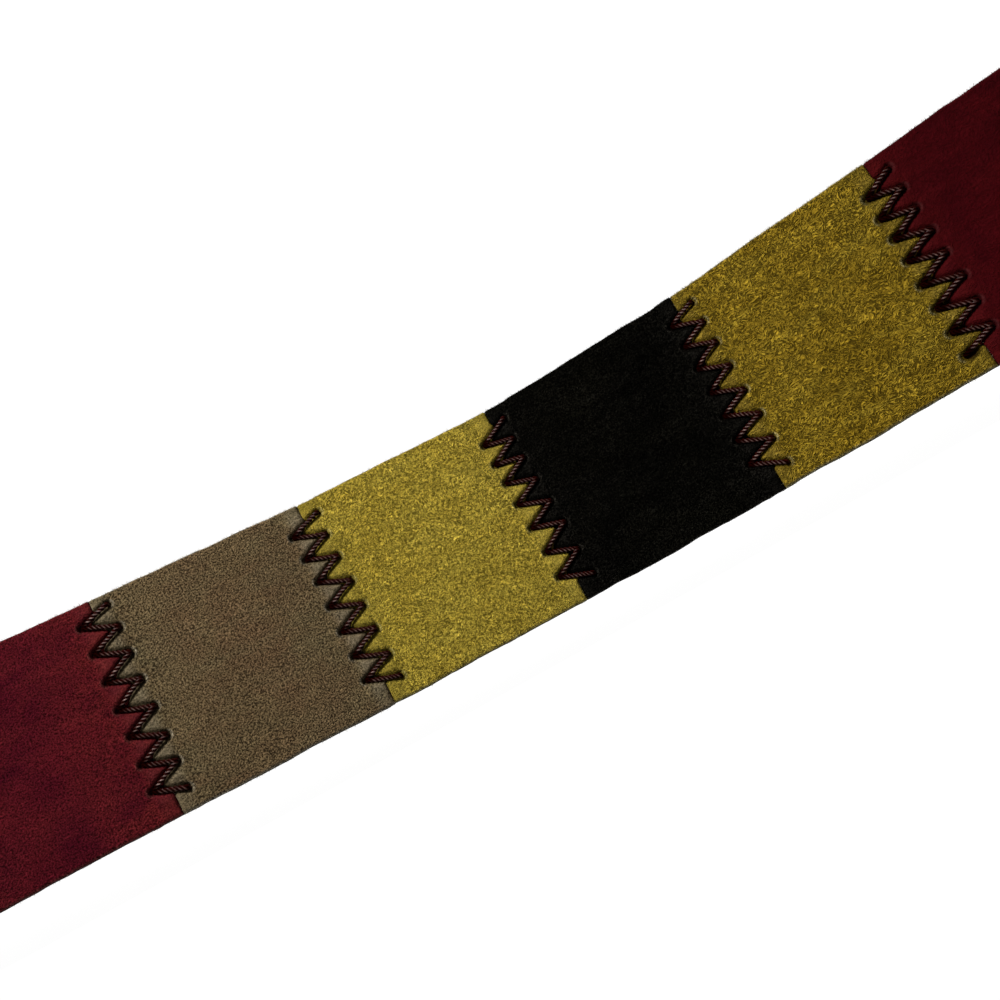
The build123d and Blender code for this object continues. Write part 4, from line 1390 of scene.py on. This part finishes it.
def bar_tack():
    """Box-and-cross stitching that holds the folded end, on the back of the strip."""
    rng = np.random.default_rng(77)
    near_x, far_x, high = SLIDER_X - 22.5, SLIDER_X - 11.0, 14.0
    near_low, far_low, far_high, near_high = (
        (near_x, -high), (far_x, -high), (far_x, high), (near_x, high))
    lines = [(near_low, far_low), (far_low, far_high), (far_high, near_high),
             (near_high, near_low), (near_low, far_high), (near_high, far_low)]
    surface = BACK_Y - WEB_T / 2
    parts = []
    for (ax, az), (bx, bz) in lines:
        count = max(2, int(round(math.hypot(bx - ax, bz - az) / 2.6)))
        for i in range(count):
            # (share of the stitch, height)
            first, last = (i + 0.08) / count, (i + 0.92) / count
            start = (ax + (bx - ax) * first, az + (bz - az) * first)
            end = (ax + (bx - ax) * last, az + (bz - az) * last)
            path = [(start[0] * (1 - share) + end[0] * share, surface + rise,
                     start[1] * (1 - share) + end[1] * share)
                    for share, rise in ((0, 0.30), (0.1, -0.10), (0.5, -0.17), (0.9, -0.10),
                                        (1, 0.30))]
            parts.append(rope(soften(path, 2), radius=0.27, lay=1.5, sides=9, step=0.25,
                              phase=rng.uniform(0, 6.28)))
    verts, faces, strap = gather(parts)
    # painted glint on every stitch of the tack, with no painted shade
    attributes = {"strap": strap, "wear_and_light": np.tile([0.8, 0.9, 1.0], (len(verts), 1))}
    ob = finish_mesh("bar_tack", tail_place(*verts.T), faces, CORD, attributes, 70)
    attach(ob, "slider")


def ring_loop():
    """One leather strip from the last seam round the ring's near bar and back."""
    half_t = 0.58
    eye_x, eye_y = 34.0, (SUEDE_T - LINING_T) / 2
    eye_r = RING_WIRE_R + 0.05 + half_t
    top_y, low_y = SUEDE_T - half_t, -LINING_T + half_t
    angle = math.degrees(math.atan2(eye_r - (top_y - eye_y), eye_x - 22.0)) + 6
    path = [(0.01, top_y), (21.0, top_y), (23.5, top_y + 0.10)]
    path += arc(eye_x, eye_y, eye_r, 90 + angle * 0.9, -90 - angle * 0.9, 40)
    path += [(23.5, low_y - 0.10), (21.0, low_y), (0.01, low_y)]
    # the last point lies on the closing side, which the strip does not have
    path = soften(densify(path, 0.8)[:-1], 2)
    wide = MID - TAB_EDGE
    half_w = np.interp(path[:, 0], [0, 9.5, 10.5, 18.5, 19.5, 60],
                       [wide, wide, MID - 0.5, 19.4, 19.0, 19.0])

    def relief_at(local, z, outward):
        x, y = local[..., 0], local[..., 1]
        relief = 0.7 * sewn_relief(COUNT, np.maximum(x, 0.001), z + MID)[0]
        for rivet_z in RIVET_Z:
            gap = np.hypot(x - LOOP_RIVET_X, z - rivet_z)
            relief -= 0.20 * bell((gap - 4.9) / 1.0)
        relief = np.maximum(np.where(outward[None, :] & (x < 20), relief, 0.0), -0.7)
        out = local.copy()
        out[..., 1] = y + relief * np.where(y > eye_y, 1.0, -0.6)
        return out, relief

    ob = ribbon("ring_loop_leather", np.column_stack([path, half_w]), half_t - 0.01,
                96, loop_place, TAB_LEATHER, 0.45, 1300, relief_at=relief_at)
    bend_with_seam(ob, COUNT)
    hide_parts("ring_loop_tab")


webbing()
bar_tack()
ring_loop()


# ---------------------------------------------------------------- rivets, ring and slider
# domed cap with a rolled rim: (radius, height)
CAP = [(4.10, 0.0), (4.42, 0.06), (4.52, 0.22), (4.48, 0.38), (4.30, 0.50), (4.02, 0.58),
       (3.4, 0.80), (2.5, 1.00), (1.4, 1.11), (0.6, 1.14), (0.0, 1.15)]
RIVET_SHANK_R = 1.6


def lathe(profile):
    """Closed solid from (radius, height) points about y, first and last on the axis."""
    sides = 40
    verts, faces = [(0.0, profile[0][1], 0.0)], []
    for radius, y in profile[1:-1]:
        for i in range(sides):
            angle = 2 * math.pi * i / sides
            verts.append((radius * math.cos(angle), y, radius * math.sin(angle)))
    verts.append((0.0, profile[-1][1], 0.0))
    last_row = 1 + (len(profile) - 3) * sides
    for i in range(sides):
        k = (i + 1) % sides
        faces.append([0, 1 + i, 1 + k])
        for row in range(1, last_row, sides):
            faces.append([row + i, row + sides + i, row + sides + k, row + k])
        faces.append([last_row + i, len(verts) - 1, last_row + k])
    return np.array(verts), faces


def rivets(name, node, body, place, x, low, high):
    lower = [(radius, low - y) for radius, y in CAP]
    upper = [(radius, high + y) for radius, y in CAP]
    profile = lower[::-1] + [(RIVET_SHANK_R, low), (RIVET_SHANK_R, high)] + upper
    verts, faces = lathe(profile)
    parts = [(verts + np.array([x, 0, z]), faces, verts + np.array([x * 3 + z, 0, 0]))
             for z in RIVET_Z]
    verts, faces, strap = gather(parts)
    ob = finish_mesh(name, place(*verts.T), faces, RIVET, {"strap": strap}, 45)
    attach(ob, body)
    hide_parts(node)


rivets("loop_rivet_caps", "loop_rivets", "ring_loop", loop_place, LOOP_RIVET_X,
       -LINING_T - 0.02, SUEDE_T + 0.02)
rivets("tab_rivet_caps", "tab_rivets", "rear_tab", tail_place, TAB_RIVET_X,
       WEB_Y - WEB_T / 2 - 0.02, TAB_Y + TAB_T + 0.02)

WIRE_SIDES = 28


def wire_loop(near_x, far_x, half_w, y, radius):
    """Closed rounded rectangle of round wire in the (x, z) plane."""
    left, right, high = near_x + WIRE_CORNER, far_x - WIRE_CORNER, half_w - WIRE_CORNER
    outline = []
    for x, z, first in ((right, high, 0), (left, high, 90), (left, -high, 180),
                        (right, -high, 270)):
        outline += arc(x, z, WIRE_CORNER, first, first + 90, 14)
    path = np.array([(x, y, z) for x, z in densify(outline, 1.2)])
    tangent = np.roll(path, -1, axis=0) - np.roll(path, 1, axis=0)
    tangent /= np.linalg.norm(tangent, axis=1)[:, None]
    up = np.array([0.0, 1.0, 0.0])
    normal = np.cross(tangent, up)
    around = np.arange(WIRE_SIDES) / WIRE_SIDES * 2 * math.pi
    # butt weld: a faint swelling on the near bar, below its middle
    swell = 1 + 0.05 * bell(np.hypot(path[:, 0] - near_x, path[:, 2] + half_w * 0.55) / 1.0)
    out = (normal[:, None] * np.cos(around)[None, :, None]
           + up[None, None] * np.sin(around)[None, :, None])
    verts = path[:, None] + radius * swell[:, None, None] * out
    index = np.arange(len(path) * WIRE_SIDES).reshape(len(path), WIRE_SIDES)
    ahead = np.roll(index, -1, axis=0)
    faces = np.stack([index, np.roll(index, -1, axis=1), np.roll(ahead, -1, axis=1), ahead], -1)
    run = np.cumsum(np.linalg.norm(np.diff(path, axis=0), axis=1))
    run = np.concatenate([[0], run])[:, None]
    strap = np.stack(np.broadcast_arrays(radius * np.cos(around)[None, :], run,
                                         radius * np.sin(around)[None, :]), -1)
    return verts.reshape(-1, 3), faces.reshape(-1, 4).tolist(), strap.reshape(-1, 3)


def slider_bar(half_w):
    """Straight round bar across the slider."""
    heights = np.linspace(-half_w, half_w, 30)
    angles = [2 * math.pi * i / WIRE_SIDES for i in range(WIRE_SIDES)]
    verts = np.array([(SLIDER_X + SLIDER_BAR_R * math.cos(angle),
                       SLIDER_Y + SLIDER_BAR_R * math.sin(angle), z)
                      for z in heights for angle in angles])
    strap = np.column_stack([verts[:, 0] - SLIDER_X, verts[:, 2], verts[:, 1]])
    return verts, capped_tube_faces(len(heights), WIRE_SIDES), strap


def wire_piece(name, body, node, parts):
    verts, faces, strap = gather(parts)
    ob = finish_mesh(name, tail_place(*verts.T), faces, NICKEL, {"strap": strap}, 60)
    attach(ob, body)
    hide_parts(node)


wire_piece("ring_wire", "ring", "wire_ring",
           [wire_loop(0, RING_LENGTH, 22.0, 0.0, RING_WIRE_R)])
wire_piece("slider_wire", "slider", "slider",
           [wire_loop(SLIDER_X - 12, SLIDER_X + 12, 21.4, SLIDER_Y, SLIDER_WIRE_R),
            slider_bar(21.2)])


# ---------------------------------------------------------------- stage, world and camera
def add_floor():
    """White floor that glows for the camera only and casts no shadow."""
    graph = material_graph("floor_white")
    diffuse = graph.node("ShaderNodeBsdfDiffuse", {"Color": (0.30, 0.30, 0.30)})
    glow = graph.node("ShaderNodeEmission",
                      {"Color": (1, 1, 1), "Strength": graph.camera_ray() * 0.96})
    material = graph.surface(graph.node("ShaderNodeAddShader", {0: diffuse, 1: glow}))
    mesh = bpy.data.meshes.new("floor")
    reach, level = 4.0, -0.0009     # metres
    mesh.from_pydata([(-reach, -reach, level), (reach, -reach, level), (reach, reach, level),
                      (-reach, reach, level)], [], [(0, 1, 2, 3)])
    mesh.materials.append(material)
    floor = bpy.data.objects.new("floor", mesh)
    SCENE.collection.objects.link(floor)
    floor.visible_shadow = False


def add_world():
    """White to the camera, a faint warm fill to everything else."""
    SCENE.world = bpy.data.worlds.new("soft_white")
    graph = Graph(SCENE.world, "ShaderNodeOutputWorld")
    seen = graph.node("ShaderNodeBackground", {"Color": (1, 1, 1), "Strength": 1.05})
    fill = graph.node("ShaderNodeBackground", {"Color": (1.0, 0.99, 0.97), "Strength": 0.10})
    graph.surface(graph.node("ShaderNodeMixShader", {0: graph.camera_ray(), 1: fill, 2: seen}))


# the camera's own axes in the world, and its place in metres
RIGHT = Vector((-0.8412775628823613, 0.26375094952491873, 0.47189776309643433))
DOWN = Vector((0.5028485740444817, 0.061290960463992614, 0.8621987762383062))
FORWARD = Vector((0.19848267877108608, 0.9626416024617391, -0.18418949871735033))
CAMERA_SPOT = Vector((-0.014945466, -0.22843975624, 0.06393294904))


def add_camera():
    lens = bpy.data.cameras.new("photo_camera")
    camera = bpy.data.objects.new("photo_camera", lens)
    SCENE.collection.objects.link(camera)
    lens.lens = 36.0
    lens.sensor_width = 36.0
    lens.clip_start = 0.01
    lens.clip_end = 20
    rotation = Matrix((RIGHT, -DOWN, -FORWARD)).transposed()
    camera.matrix_world = Matrix.Translation(CAMERA_SPOT) @ rotation.to_4x4()
    SCENE.camera = camera


def lamp(name, spot, aim, size, watts, colour=(1, 1, 1)):
    light = bpy.data.lights.new(name, "AREA")
    light.shape = "DISK"
    light.size = size
    light.energy = watts
    light.color = colour
    ob = bpy.data.objects.new(name, light)
    SCENE.collection.objects.link(ob)
    spot, aim = Vector(spot), Vector(aim)
    rotation = (aim - spot).to_track_quat("-Z", "Y").to_matrix()
    ob.matrix_world = Matrix.Translation(spot) @ rotation.to_4x4()


add_floor()
add_world()
add_camera()
# the key comes from the camera's upper left, on the camera's side of the strap
KEY_AIM = Vector((0.0, 0.0, 0.025))
KEY_WAY = (-0.75 * RIGHT - 0.45 * DOWN - 0.48 * FORWARD).normalized()
lamp("key", spot=KEY_AIM + KEY_WAY * 0.50, aim=KEY_AIM, size=0.15, watts=3.4,
     colour=(1.0, 0.985, 0.96))
lamp("top_soft", spot=(0.25, -0.35, 1.3), aim=(0, 0, 0), size=1.2, watts=5.0)
lamp("rear_soft", spot=(-0.5, 0.9, 0.8), aim=(0, 0.05, 0.02), size=0.9, watts=7.0)
